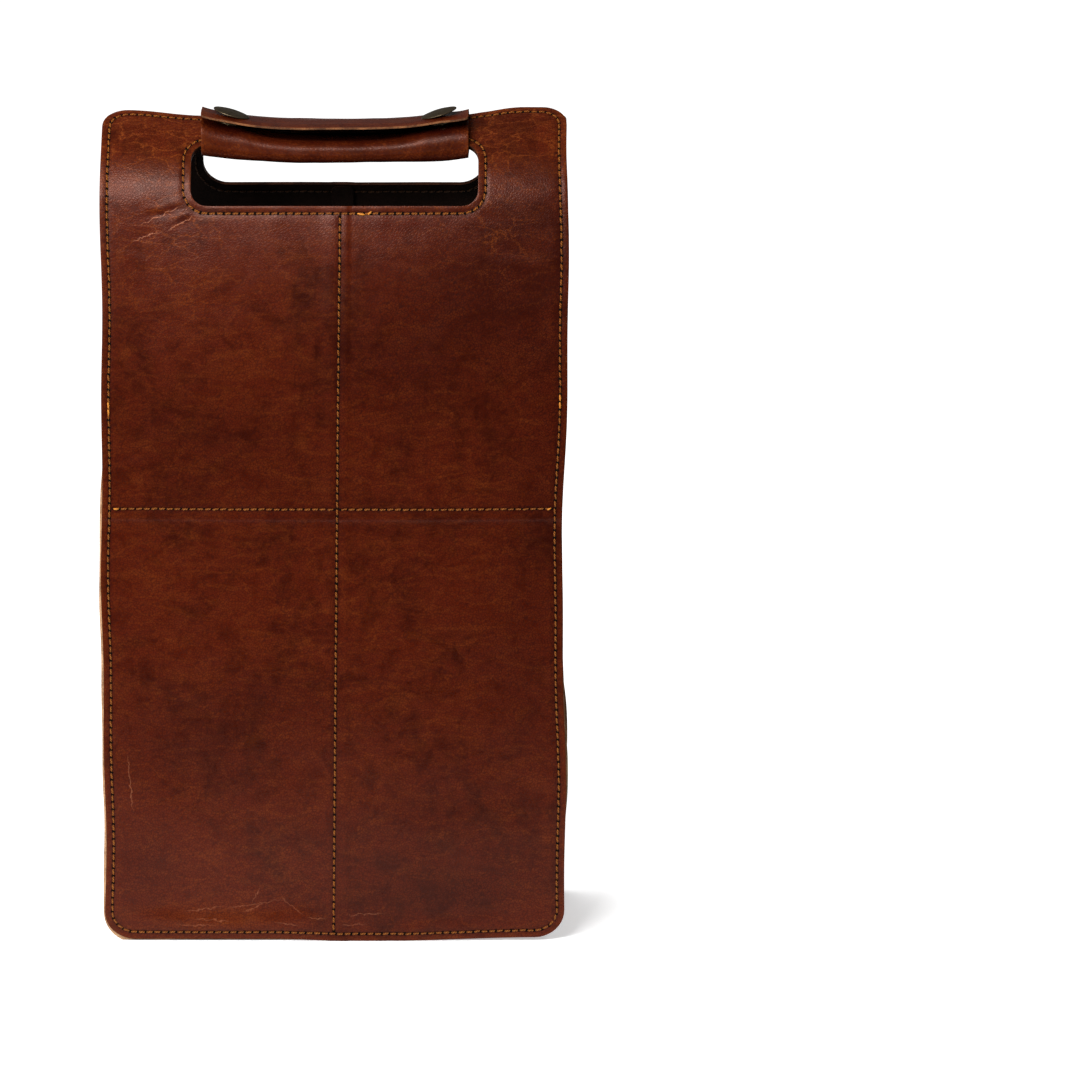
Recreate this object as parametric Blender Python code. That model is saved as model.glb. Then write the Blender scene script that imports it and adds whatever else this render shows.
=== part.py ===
"""A leather carrier for two wine bottles, standing closed.

The front and back panels are sewn to a strip that makes both sides and the bottom. Above that strip
the panels lean together and end in two bars over a hand hole. A leather wrap goes round the bars in two
pieces, one fixed to each, and closes on top with a flap and two snaps. Undoing the flap lets the bars
part, which opens the mouth.

Each flat piece of leather is drawn as its flat pattern and then bent to shape. Metres, +Z up, the
front faces -Y, and the carrier stands on Z = 0.
"""

import math

import bmesh
import bpy
from mathutils import Matrix, Vector

# The panels and the body
PANEL_WIDTH = 0.187
BODY_DEPTH = 0.080
PANEL_THICK = 0.0015
FACING_THICK = 0.0011
LAYER_GAP = 0.0003
GUSSET_TOP = 0.221
LEAN_LENGTH = 0.082
ROLL_LENGTH = 0.046
ROLL_TURN = math.radians(53.2)
MOUTH_GAP = 0.0070
TOP_CORNER = 0.0105
FOOT_CORNER = 0.0120

# The hand hole and the bars above it
HOLE_WIDTH = 0.115
HOLE_HEIGHT = 0.028
HOLE_CORNER = 0.0080
BAR_SAG_AT_ENDS = 0.0028
BAR_SAG_INSIDE = 0.0054
SAG_FADE = 0.0070

# The strip that makes the sides and the bottom
GUSSET_THICK = 0.0014
FLANGE_WIDTH = 0.0070

# The facing behind the upper half of each panel, and the divider between the bottles
FACING_FOOT = 0.176
DIVIDER_THICK = 0.0012
DIVIDER_TOP = 0.208
DIVIDER_FLANGE = 0.0089
DIVIDER_SHIFT = 0.0022
DIVIDER_STEP = 0.0045
STRIP_TO_HOLE = 0.0015

# The seams, each a band of thread standing on the leather
SEAM_INSET = 0.0030
THREAD_WIDTH = 0.0009
THREAD_THICK = 0.0004
SEAM_SHIFT_AT_TOP = 0.0036
SEAM_SHIFT_AT_FOOT = 0.0012
CROSS_SEAM_ABOVE_FOOT = 0.0045

# The wrap round the bars
WRAP_WIDTH = 0.107
WRAP_THICK = 0.0015
WRAP_EASE_FRONT = 0.0019
WRAP_EASE_BACK = 0.0022
WRAP_DROP_FRONT = 0.0051
WRAP_DROP_BACK = 0.0087
FLAP_LIFT = 0.0018
FLAP_OVERHANG = 0.0028
FLAP_SAG = 0.0080
FOLD_DROP = 0.0034
FOOT_ROLL = 0.0026
FOOT_SAG = 0.0021
LIP_RISE_AT_ENDS = 0.0018
FOOT_SPLIT = 0.0010
LIP_END = 0.0020

# The two snaps
SNAP_SPACING = 0.084
SNAP_BEHIND_FRONT = 0.0078
CAP_RADIUS = 0.0074
CAP_RISE = 0.0014
CAP_RIM = 0.0005
SHANK_RADIUS = 0.0014
SOCKET_RADIUS = 0.0050
SOCKET_BORE = 0.0027
SOCKET_PLATE = 0.0005
STUD_RADIUS = 0.0045
STUD_FLANGE = 0.0005
NUB_RADIUS = 0.0017
NUB_WALL = 0.0004
POST_RADIUS = 0.0042
POST_FLANGE = 0.00045
POST_SHANK = 0.0010
SNAP_GAP = 0.0002

# Where the curved leather is creased into flat facets, as shares of the length that curves
LEAN_SHARES = (0.0, 0.25, 0.5, 0.75, 1.0)
ROLL_SHARES = (0.13, 0.26, 0.39, 0.50, 0.61, 0.71, 0.81, 0.91)
BAR_COLUMN_SHARES = (0.0, 0.26, 0.50, 0.68, 0.785, 0.88, 1.0)
SAG_POWER = 3.0
SAG_RISE_POWER = 1.5
RISE_POWER = 4.0
CORNER_STEPS = 6
ROUND_STEPS = 24
HOLE_STEPS = 12
TALL_STRIPS = 7
DEEP_STRIPS = 3
WIDE_STRIPS = 5
HALVINGS = 40
AXIS_TRIES = 4
SHARP_ANGLE = math.radians(35)
MERGE = 1e-6

# The wrap from the back of its foot up and over the bars, as shares: how far back of the middle, how
# high above the foot, and how much of the flap's sag it takes half way along the handle
BACK_LINE_SHARES = ((0.86, 0.00, 0.0), (0.97, 0.03, 0.0), (1.00, 0.12, 0.0), (1.00, 0.32, 0.0))
FLAP_HINGE_SHARES = (0.94, 0.52, 0.0)
FLAP_LINE_SHARES = ((0.75, 0.68, 0.24), (0.43, 0.82, 0.46), (0.10, 0.91, 0.53))
FLAP_AT_SNAP_SHARES = (1.0, 0.68)
FLAP_EDGE_SHARES = (0.99, 1.0)

# How the wrap's rolls turn, as shares of a quarter turn
ROLL_TURN_SHARES = (1 / 3, 2 / 3, 1.0)

# The level part of the wrap at the snaps, as shares of a snap's radius behind its middle
SNAP_REACH_SHARES = (1, 0, -1)

# Colour, roughness and metal of each material
LEATHER_LOOK = ((0.16, 0.040, 0.014, 1.0), 0.42, 0.0)
LINING_LOOK = ((0.11, 0.028, 0.011, 1.0), 0.6, 0.0)
GUSSET_LOOK = ((0.30, 0.12, 0.045, 1.0), 0.6, 0.0)
THREAD_LOOK = ((0.36, 0.15, 0.030, 1.0), 0.7, 0.0)
BRASS_LOOK = ((0.12, 0.095, 0.065, 1.0), 0.38, 1.0)

PANEL_HEIGHT = GUSSET_TOP + LEAN_LENGTH + ROLL_LENGTH
HOLE_FOOT = GUSSET_TOP + LEAN_LENGTH
HOLE_HEAD = HOLE_FOOT + HOLE_HEIGHT
HALF_WIDTH = PANEL_WIDTH / 2
HALF_WRAP = WRAP_WIDTH / 2
FRONT, BACK = -1, 1


def smooth(share):
    """A soft step from 0 to 1."""
    share = min(max(share, 0.0), 1.0)
    return share * share * (3 - 2 * share)


def hammock(x):
    """How far the handle hangs at x: 0 at the wrap's ends and 1 half way along it."""
    share = min(abs(x) / HALF_WRAP, 1.0)
    return 1 - share**SAG_POWER


def bar_sag(x, height):
    """How much lower the leather lies for the handle's pull, at a height up the flat panel."""
    if height <= HOLE_FOOT:
        return 0.0
    rise = ((height - HOLE_FOOT) / ROLL_LENGTH) ** SAG_RISE_POWER
    ends = smooth((HALF_WRAP + SAG_FADE - abs(x)) / SAG_FADE)
    return rise * (BAR_SAG_AT_ENDS * ends + BAR_SAG_INSIDE * hammock(x))


def leaning_line(height, lean):
    """A panel's outer face that leans in by an angle below the hand hole, then rolls over above it."""
    out, up, slope = BODY_DEPTH / 2, min(height, GUSSET_TOP), 0.0
    turns = ((GUSSET_TOP, LEAN_LENGTH, 0.0, lean), (HOLE_FOOT, ROLL_LENGTH, lean, lean + ROLL_TURN))
    for start, length, first, last in turns:
        run = min(max(height - start, 0.0), length)
        if run <= 0:
            break
        radius = length / (last - first)
        slope = first + run / radius
        out -= radius * (math.cos(first) - math.cos(slope))
        up += radius * (math.sin(slope) - math.sin(first))
    return out, up, slope


def lean_to_close():
    """The lean that brings the two panels' top edges to the mouth's gap."""
    low, high = MERGE, ROLL_TURN
    for _ in range(HALVINGS):
        lean = (low + high) / 2
        if leaning_line(PANEL_HEIGHT, lean)[0] > MOUTH_GAP / 2:
            low = lean
        else:
            high = lean
    return low


LEAN_ANGLE = lean_to_close()


def panel_line(height):
    """The outer face of a panel, seen from the side: distance from the middle, height and slope."""
    return leaning_line(height, LEAN_ANGLE)


def on_panel(side):
    """Bends a point of the flat pattern to the front or back panel. Depth runs into the carrier."""

    def place(x, height, depth):
        out, up, slope = panel_line(height)
        y = out - depth * math.cos(slope)
        z = up - depth * math.sin(slope) - bar_sag(x, height)
        return Vector((x, side * y, z))

    return place


def panel_rows():
    rows = [GUSSET_TOP + share * LEAN_LENGTH for share in LEAN_SHARES]
    return rows + [HOLE_FOOT + share * ROLL_LENGTH for share in ROLL_SHARES]


def bar_columns():
    inner = [share * HALF_WRAP for share in BAR_COLUMN_SHARES]
    inner += [HALF_WRAP + SAG_FADE / 2, HALF_WRAP + SAG_FADE]
    return sorted({side * x for x in inner for side in (-1, 1)})


def make_material(name, colour, roughness, metallic):
    material = bpy.data.materials.new(name)
    material.use_nodes = True
    shader = material.node_tree.nodes["Principled BSDF"]
    shader.inputs["Base Color"].default_value = colour
    shader.inputs["Roughness"].default_value = roughness
    shader.inputs["Metallic"].default_value = metallic
    material.diffuse_color = colour
    return material


def finish(name, bm, look, smooth_edges=False):
    """Turns a closed bmesh into a named object with its own material."""
    bmesh.ops.triangulate(bm, faces=bm.faces[:])
    bmesh.ops.recalc_face_normals(bm, faces=bm.faces[:])
    mesh = bpy.data.meshes.new(name)
    bm.to_mesh(mesh)
    bm.free()
    if smooth_edges:
        mesh.shade_smooth()
        mesh.set_sharp_from_angle(angle=SHARP_ANGLE)
    mesh.materials.append(make_material(name, *look))
    piece = bpy.data.objects.new(name, mesh)
    bpy.context.scene.collection.objects.link(piece)
    return piece


def arc(centre_x, centre_y, radius, start, end, steps=CORNER_STEPS):
    """Points of a round corner, with the angles in quarter turns."""
    angles = [(start + (end - start) * i / steps) * math.pi / 2 for i in range(steps + 1)]
    return [(centre_x + radius * math.cos(a), centre_y + radius * math.sin(a)) for a in angles]


def rounded(low_x, low_y, high_x, high_y, foot_radius, head_radius):
    """A rectangle whose lower and upper corners may be round, anticlockwise from its lower left."""
    points = []
    corners = (
        (low_x, low_y, foot_radius, 1, 1, 2),
        (high_x, low_y, foot_radius, -1, 1, 3),
        (high_x, high_y, head_radius, -1, -1, 0),
        (low_x, high_y, head_radius, 1, -1, 1),
    )
    for x, y, radius, into_x, into_y, turn in corners:
        if radius > 0:
            points += arc(x + into_x * radius, y + into_y * radius, radius, turn, turn + 1)
        else:
            points.append((x, y))
    return points


def flat_pattern(loops, rows, columns, columns_from):
    """A flat mesh of an outline with holes, creased along rows and, above a height, along columns."""
    bm = bmesh.new()
    for loop in loops:
        verts = [bm.verts.new((x, y, 0)) for x, y in loop]
        for i, vert in enumerate(verts):
            bm.edges.new((verts[i - 1], vert))
    bmesh.ops.triangle_fill(bm, use_beauty=True, use_dissolve=False, edges=bm.edges[:])
    up, right = Vector((0, 1, 0)), Vector((1, 0, 0))
    for row in rows:
        geometry = bm.verts[:] + bm.edges[:] + bm.faces[:]
        bmesh.ops.bisect_plane(bm, geom=geometry, dist=MERGE, plane_co=up * row, plane_no=up)
    for column in columns:
        faces = [f for f in bm.faces if f.calc_center_median().y > columns_from]
        geometry = faces + list({e for f in faces for e in f.edges} | {v for f in faces for v in f.verts})
        bmesh.ops.bisect_plane(bm, geom=geometry, dist=MERGE, plane_co=right * column, plane_no=right)

    def cell(face):
        centre = face.calc_center_median()
        across = sum(centre.x > c for c in columns) if centre.y > columns_from else -1
        return sum(centre.y > r for r in rows), across

    inner = [e for e in bm.edges if len(e.link_faces) == 2 and cell(e.link_faces[0]) == cell(e.link_faces[1])]
    bmesh.ops.dissolve_edges(bm, edges=inner, use_verts=False)
    bmesh.ops.triangulate(bm, faces=bm.faces[:])
    bm.verts.index_update()
    return bm


def bent_sheet(name, flat, shallow, deep, place, look):
    """Gives a flat pattern its thickness and bends it to its place."""
    bm = bmesh.new()
    outer = [bm.verts.new(place(v.co.x, v.co.y, shallow)) for v in flat.verts]
    inner = [bm.verts.new(place(v.co.x, v.co.y, deep)) for v in flat.verts]
    for face in flat.faces:
        bm.faces.new([outer[v.index] for v in face.verts])
        bm.faces.new([inner[v.index] for v in reversed(face.verts)])
    for edge in flat.edges:
        if len(edge.link_faces) == 1:
            a, b = (v.index for v in edge.verts)
            bm.faces.new((outer[a], outer[b], inner[b], inner[a]))
    flat.free()
    return finish(name, bm, look)


def creased_path(points, rows, columns, columns_from, closed):
    """Adds to a seam's path the points where the leather under it is creased."""
    ends = list(zip(points, points[1:] + points[:1])) if closed else list(zip(points, points[1:]))
    path = []
    for (x0, y0), (x1, y1) in ends:
        cuts = {(row - y0) / (y1 - y0) for row in rows if abs(y1 - y0) > MERGE}
        if max(y0, y1) > columns_from:
            cuts |= {(c - x0) / (x1 - x0) for c in columns if abs(x1 - x0) > MERGE}
        path.append((x0, y0))
        reach = math.dist((x0, y0), (x1, y1))
        inside = sorted(c for c in cuts if THREAD_WIDTH < c * reach < reach - THREAD_WIDTH)
        path += [(x0 + (x1 - x0) * c, y0 + (y1 - y0) * c) for c in inside]
    if not closed:
        path.append(points[-1])
    return path


def seam(name, side, points, closed=False):
    """One line of thread that stands on the outer face of a panel."""
    path = creased_path(points, panel_rows(), bar_columns(), HOLE_FOOT, closed)
    place = on_panel(side)
    count = len(path)
    rings = []
    bm = bmesh.new()
    for i, (x, y) in enumerate(path):
        before = path[i - 1] if closed or i > 0 else path[i]
        after = path[(i + 1) % count] if closed or i < count - 1 else path[i]
        along = Vector((after[0] - before[0], after[1] - before[1])).normalized()
        aside = Vector((-along.y, along.x)) * THREAD_WIDTH / 2
        rings.append(
            [
                bm.verts.new(place(x + a * aside.x, y + a * aside.y, -depth))
                for a, depth in (
                    (-1, LAYER_GAP),
                    (1, LAYER_GAP),
                    (1, LAYER_GAP + THREAD_THICK),
                    (-1, LAYER_GAP + THREAD_THICK),
                )
            ]
        )
    pairs = list(zip(rings, rings[1:]))
    if closed:
        pairs.append((rings[-1], rings[0]))
    for ring, following in pairs:
        for i in range(4):
            bm.faces.new((ring[i - 1], ring[i], following[i], following[i - 1]))
    if not closed:
        bm.faces.new(rings[0])
        bm.faces.new(rings[-1])
    return finish(name, bm, THREAD_LOOK)


SPLIT_LOW = GUSSET_TOP - LAYER_GAP / 2
SPLIT_HIGH = GUSSET_TOP + LAYER_GAP / 2
FACING_DEPTH = PANEL_THICK + LAYER_GAP
STRIP_DEPTH = FACING_DEPTH + FACING_THICK + LAYER_GAP
CREASES = (panel_rows(), bar_columns(), HOLE_FOOT)
HOLE = (-HOLE_WIDTH / 2, HOLE_FOOT, HOLE_WIDTH / 2, HOLE_HEAD)


def panel_sheet(name, side, loops, depth, thick, look):
    """A sheet of leather that follows a panel at a depth behind the panel's outer face."""
    flat = flat_pattern(loops, *CREASES)
    bent_sheet(name, flat, depth, depth + thick, on_panel(side), look)


def hole_outline(grow=0.0):
    low_x, low_y, high_x, high_y = HOLE
    radius = HOLE_CORNER + grow
    return rounded(low_x - grow, low_y - grow, high_x + grow, high_y + grow, radius, radius)


def lower_edge_path(head):
    """The edge seam round the foot, from the upper left to the upper right."""
    radius = FOOT_CORNER - SEAM_INSET
    path = [(SEAM_INSET - HALF_WIDTH, head)]
    path += arc(FOOT_CORNER - HALF_WIDTH, FOOT_CORNER, radius, 2, 3)
    path += arc(HALF_WIDTH - FOOT_CORNER, FOOT_CORNER, radius, 3, 4)
    return path + [(HALF_WIDTH - SEAM_INSET, head)]


def upper_edge_path(foot):
    """The edge seam over the top, from the lower right to the lower left."""
    radius, centre = TOP_CORNER - SEAM_INSET, PANEL_HEIGHT - TOP_CORNER
    path = [(HALF_WIDTH - SEAM_INSET, foot)]
    path += arc(HALF_WIDTH - TOP_CORNER, centre, radius, 0, 1)
    path += arc(TOP_CORNER - HALF_WIDTH, centre, radius, 1, 2)
    return path + [(SEAM_INSET - HALF_WIDTH, foot)]


def middle_x(height):
    """The divider's seam leans a little to one side."""
    share = (height - SEAM_INSET) / (HOLE_FOOT - 2 * SEAM_INSET)
    return SEAM_SHIFT_AT_FOOT + (SEAM_SHIFT_AT_TOP - SEAM_SHIFT_AT_FOOT) * share


def middle_seam(name, side, start, end):
    seam(name, side, [(middle_x(start), start), (middle_x(end), end)])


APART = THREAD_WIDTH + LAYER_GAP
MIDDLE_FOOT = SEAM_INSET + APART
MIDDLE_HEAD = HOLE_FOOT - SEAM_INSET - APART
STRIP_LEFT = -DIVIDER_SHIFT - DIVIDER_THICK / 2
STRIP_HEAD = HOLE_FOOT - STRIP_TO_HOLE


def cross_seams(word, side):
    """The seam along the facing's lower edge, which the divider's seam parts in two."""
    cross = FACING_FOOT + CROSS_SEAM_ABOVE_FOOT
    middle = middle_x(cross)
    reach = HALF_WIDTH - SEAM_INSET - APART
    for hand, start, end in (("left", -reach, middle - APART), ("right", middle + APART, reach)):
        seam(f"{word}_cross_thread_{hand}", side, [(start, cross), (end, cross)])


UPPER_PIECES = (
    "panel_upper",
    "facing_upper",
    "divider_strip",
    "hole_thread",
    "edge_thread_upper",
    "divider_thread_upper",
)


def panel_pieces(side, word):
    """A panel, its facing and its seams, in a fixed lower part and an upper part that swings out."""
    lower = [rounded(-HALF_WIDTH, 0.0, HALF_WIDTH, SPLIT_LOW, FOOT_CORNER, 0)]
    upper = [rounded(-HALF_WIDTH, SPLIT_HIGH, HALF_WIDTH, PANEL_HEIGHT, 0, TOP_CORNER), hole_outline()]
    panel_sheet(f"{word}_panel_lower", side, lower, 0.0, PANEL_THICK, LEATHER_LOOK)
    panel_sheet(f"{word}_panel_upper", side, upper, 0.0, PANEL_THICK, LEATHER_LOOK)
    narrow = HALF_WIDTH - FLANGE_WIDTH - LAYER_GAP
    lower = [rounded(-narrow, FACING_FOOT, narrow, SPLIT_LOW, 0, 0)]
    panel_sheet(f"{word}_facing_lower", side, lower, FACING_DEPTH, FACING_THICK, LINING_LOOK)
    panel_sheet(f"{word}_facing_upper", side, upper, FACING_DEPTH, FACING_THICK, LINING_LOOK)
    strip = [rounded(STRIP_LEFT, SPLIT_HIGH, STRIP_LEFT + DIVIDER_FLANGE, STRIP_HEAD, 0, 0)]
    panel_sheet(f"{word}_divider_strip", side, strip, STRIP_DEPTH, DIVIDER_THICK, LINING_LOOK)
    seam(f"{word}_edge_thread_lower", side, lower_edge_path(SPLIT_LOW))
    seam(f"{word}_edge_thread_upper", side, upper_edge_path(SPLIT_HIGH))
    seam(f"{word}_hole_thread", side, hole_outline(SEAM_INSET), closed=True)
    middle_seam(f"{word}_divider_thread_lower", side, MIDDLE_FOOT, SPLIT_LOW)
    middle_seam(f"{word}_divider_thread_upper", side, SPLIT_HIGH, MIDDLE_HEAD)
    cross_seams(word, side)


def cut_into_strips(bm, direction, low, high, count):
    """Cuts a solid's large faces across a direction into even strips."""
    for i in range(1, count):
        point = direction * (low + (high - low) * i / count)
        geometry = bm.verts[:] + bm.edges[:] + bm.faces[:]
        bmesh.ops.bisect_plane(bm, geom=geometry, dist=MERGE, plane_co=point, plane_no=direction)


def gusset():
    """One strip from the top of one side, under the bottle bases, to the top of the other side."""
    half = BODY_DEPTH / 2 - PANEL_THICK - LAYER_GAP
    head = GUSSET_TOP - LAYER_GAP / 2
    outward = [(-HALF_WIDTH, head, -1.0, 0.0)]
    for centre, start in ((-HALF_WIDTH + FOOT_CORNER, 2), (HALF_WIDTH - FOOT_CORNER, 3)):
        for x, z in arc(0, 0, 1, start, start + 1):
            outward.append((centre + x * FOOT_CORNER, FOOT_CORNER + z * FOOT_CORNER, x, z))
    outward.append((HALF_WIDTH, head, 1.0, 0.0))
    section = (
        (0, -half),
        (0, -half + GUSSET_THICK),
        (FLANGE_WIDTH - GUSSET_THICK, -half + GUSSET_THICK),
        (FLANGE_WIDTH - GUSSET_THICK, half - GUSSET_THICK),
        (0, half - GUSSET_THICK),
        (0, half),
        (FLANGE_WIDTH, half),
        (FLANGE_WIDTH, -half),
    )
    bm = bmesh.new()
    rings = []
    for x, z, nx, nz in outward:
        rings.append([bm.verts.new((x - inset * nx, y, z - inset * nz)) for inset, y in section])
    for ring, following in zip(rings, rings[1:]):
        for i in range(len(section)):
            bm.faces.new((ring[i - 1], ring[i], following[i], following[i - 1]))
    bm.faces.new(rings[0])
    bm.faces.new(rings[-1])
    cut_into_strips(bm, Vector((0, 0, 1)), FOOT_CORNER, head, TALL_STRIPS)
    cut_into_strips(bm, Vector((0, 1, 0)), -half, half, DEEP_STRIPS)
    reach = HALF_WIDTH - FOOT_CORNER
    cut_into_strips(bm, Vector((1, 0, 0)), -reach, reach, WIDE_STRIPS)
    finish("gusset", bm, GUSSET_LOOK)


def divider():
    """The wall between the bottles, with a flange at each end that is sewn to the panels."""
    low_depth, high_depth = FACING_DEPTH, STRIP_DEPTH
    step = FACING_FOOT - LAYER_GAP
    levels = (
        (FLANGE_WIDTH + LAYER_GAP, low_depth),
        (step - DIVIDER_STEP, low_depth),
        (step, high_depth),
        (DIVIDER_TOP, high_depth),
    )
    left, right, tip = STRIP_LEFT, STRIP_LEFT + DIVIDER_THICK, STRIP_LEFT + DIVIDER_FLANGE
    bm = bmesh.new()
    rings = []
    for z, depth in levels:
        out = BODY_DEPTH / 2 - depth
        fold = out - DIVIDER_THICK
        section = ((left, -out), (tip, -out), (tip, -fold), (right, -fold))
        section += ((right, fold), (tip, fold), (tip, out), (left, out))
        rings.append([bm.verts.new((x, y, z)) for x, y in section])
    for ring, following in zip(rings, rings[1:]):
        for i in range(len(ring)):
            bm.faces.new((ring[i - 1], ring[i], following[i], following[i - 1]))
    bm.faces.new(rings[0])
    bm.faces.new(rings[-1])
    half = BODY_DEPTH / 2 - FACING_DEPTH
    cut_into_strips(bm, Vector((0, 0, 1)), levels[0][0], levels[1][0], TALL_STRIPS)
    cut_into_strips(bm, Vector((0, 1, 0)), -half, half, DEEP_STRIPS)
    finish("divider", bm, LINING_LOOK)


BAR_FOOT_OUT, BAR_FOOT_UP, _ = panel_line(HOLE_HEAD)
BAR_HEAD_UP = panel_line(PANEL_HEIGHT)[1]
WRAP_FRONT = BAR_FOOT_OUT + WRAP_EASE_FRONT
WRAP_BACK = BAR_FOOT_OUT + WRAP_EASE_BACK
BACK_FOOT_UP = BAR_FOOT_UP - WRAP_DROP_BACK
FLAP_RISE = BAR_HEAD_UP + FLAP_LIFT - BACK_FOOT_UP
SNAP_Y = -WRAP_FRONT + SNAP_BEHIND_FRONT


def lift(up, drop, x):
    """The height of the wrap's back or flap, from its shares of the rise and of the sag."""
    return BACK_FOOT_UP + up * FLAP_RISE - drop * FLAP_SAG * hammock(x)


def lip_level(x):
    """The height of the middle of the lip, which lies flat on the snap's posts over the front bar."""
    height = height_under(SNAP_Y + POST_RADIUS)
    lift = POST_FLANGE + 2 * SNAP_GAP + WRAP_THICK / 2 + LAYER_GAP
    rise = LIP_RISE_AT_ENDS * (1 - hammock(x)) ** RISE_POWER
    return panel_line(height)[1] - bar_sag(x, height) + lift + rise


def lip_end(x):
    """The lip's free edge, which rests near the top of the front bar."""
    height = PANEL_HEIGHT - LIP_END
    out, up, _ = panel_line(height)
    return -out, max(up - bar_sag(x, height) + THREAD_WIDTH + WRAP_THICK / 2, lip_level(x))


def front_rows(x):
    """The lip's free end, its level part at the snaps, the fold, the front and the roll at its foot."""
    level = lip_level(x)
    rows = [lip_end(x)]
    rows += [(SNAP_Y + reach * STUD_RADIUS, level) for reach in SNAP_REACH_SHARES]
    fold_run = WRAP_FRONT + SNAP_Y - STUD_RADIUS
    turns = [share * math.pi / 2 for share in ROLL_TURN_SHARES]
    for turn in turns:
        y = -WRAP_FRONT + fold_run * (1 - math.sin(turn))
        rows.append((y, level - FOLD_DROP * (1 - math.cos(turn))))
    rows.append((-WRAP_FRONT, front_foot_up(x) + FOOT_ROLL))
    for turn in turns:
        y = -WRAP_FRONT + FOOT_ROLL * (1 - math.cos(turn))
        rows.append((y, front_foot_up(x) + FOOT_ROLL * (1 - math.sin(turn))))
    return rows


def front_foot_up(x):
    return BAR_FOOT_UP - WRAP_DROP_FRONT - FOOT_SAG * hammock(x)


def back_rows(x):
    """The foot from the middle, where the two pieces of the wrap meet, and the back up to the hinge."""
    middle = (0.0, (front_foot_up(x) + BACK_FOOT_UP) / 2)
    return [middle] + [(out * WRAP_BACK, lift(up, drop, x)) for out, up, drop in BACK_LINE_SHARES]


def flap_rows(x):
    """The flap from its hinge over the bars to its front edge, level at the snaps."""
    rows = [(out * WRAP_BACK, lift(up, drop, x)) for out, up, drop in (FLAP_HINGE_SHARES, *FLAP_LINE_SHARES)]
    level = lift(*FLAP_AT_SNAP_SHARES, x)
    rows += [(SNAP_Y + reach * SOCKET_RADIUS, level) for reach in SNAP_REACH_SHARES]
    rows.append((-WRAP_FRONT - FLAP_OVERHANG, lift(*FLAP_EDGE_SHARES, x)))
    return rows


def wrap_line(x):
    """The middle of the wrap's thickness, from the lip's free end right round to the flap's edge."""
    return front_rows(x) + back_rows(x) + flap_rows(x)


def height_under(y):
    """The height up the flat front panel whose outer face lies at y."""
    low, high = HOLE_FOOT, PANEL_HEIGHT
    for _ in range(HALVINGS):
        middle = (low + high) / 2
        if -panel_line(middle)[0] < y:
            low = middle
        else:
            high = middle
    return low


def wrap_marks():
    """How far along the leather each row of the wrap lies, half way along the handle."""
    line = wrap_line(0.0)
    marks = [0.0]
    for point, following in zip(line, line[1:]):
        marks.append(marks[-1] + math.dist(point, following))
    return marks


WRAP_MARKS = wrap_marks()
SPLIT_ROW = len(front_rows(0.0))
HINGE_ROW = SPLIT_ROW + len(back_rows(0.0))
LIP_SNAP_ROW = 1 + SNAP_REACH_SHARES.index(0)
FLAP_SNAP_ROW = HINGE_ROW + 1 + len(FLAP_LINE_SHARES) + SNAP_REACH_SHARES.index(0)


def on_wrap(x, run, depth):
    """Bends a point of the wrap's flat pattern round the bars. Depth runs towards the bars."""
    line = [Vector(p) for p in wrap_line(x)]
    last = len(line) - 1
    first = max(i for i, mark in enumerate(WRAP_MARKS[:-1]) if mark <= run + MERGE)
    share = (run - WRAP_MARKS[first]) / (WRAP_MARKS[first + 1] - WRAP_MARKS[first])
    sides = []
    for i in (first, first + 1):
        before = (line[max(i, 1)] - line[max(i, 1) - 1]).normalized()
        after = (line[min(i, last - 1) + 1] - line[min(i, last - 1)]).normalized()
        aside = Vector((-(before + after).y, (before + after).x)).normalized()
        sides.append(aside / aside.dot(Vector((-after.y, after.x))))
    point = line[first].lerp(line[first + 1], share) + sides[0].lerp(sides[1], share) * depth
    return Vector((x, point.x, point.y))


def round_hole(x, run, radius):
    """A round hole in a flat pattern."""
    turns = [(i + 0.5) / HOLE_STEPS * math.tau for i in range(HOLE_STEPS)]
    return [(x + radius * math.cos(turn), run + radius * math.sin(turn)) for turn in turns]


def snap_frame(side):
    """The flap's middle under a cap, the snap's axis, where that axis meets the lip, and how far below."""
    x, run = side * SNAP_SPACING / 2, WRAP_MARKS[FLAP_SNAP_ROW]
    top = on_wrap(x, run, 0.0)
    across = on_wrap(x + SOCKET_BORE, run, 0.0) - on_wrap(x - SOCKET_BORE, run, 0.0)
    axis = across.cross(Vector((0, -1, 0))).normalized()
    axis = axis if axis.z > 0 else -axis
    lip_x = x
    for _ in range(AXIS_TRIES):
        lip = on_wrap(lip_x, WRAP_MARKS[LIP_SNAP_ROW], 0.0)
        lip_x = x - axis.x / axis.z * (top.z - lip.z)
    return top, axis, lip_x, (top.z - lip.z) / axis.z


def turned(name, profile, base, axis, look):
    """A turned piece: its profile of radius and height is spun round the axis through base."""
    bm = bmesh.new()
    rings = []
    for radius, height in profile:
        if radius > 0:
            turn = [i / ROUND_STEPS * math.tau for i in range(ROUND_STEPS)]
            rings.append([bm.verts.new((radius * math.cos(a), radius * math.sin(a), height)) for a in turn])
        else:
            rings.append([bm.verts.new((0, 0, height))])
    closed = profile[0][0] > 0
    pairs = list(zip(rings, rings[1:])) + ([(rings[-1], rings[0])] if closed else [])
    for ring, following in pairs:
        for i in range(ROUND_STEPS):
            corners = [ring[i - 1], ring[i]] if len(ring) > 1 else [ring[0]]
            corners += [following[i], following[i - 1]] if len(following) > 1 else [following[0]]
            bm.faces.new(corners)
    turn = Vector((0, 0, 1)).rotation_difference(axis).to_matrix().to_4x4()
    bmesh.ops.transform(bm, matrix=Matrix.Translation(base) @ turn, verts=bm.verts[:])
    return finish(name, bm, look, smooth_edges=True)


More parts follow.
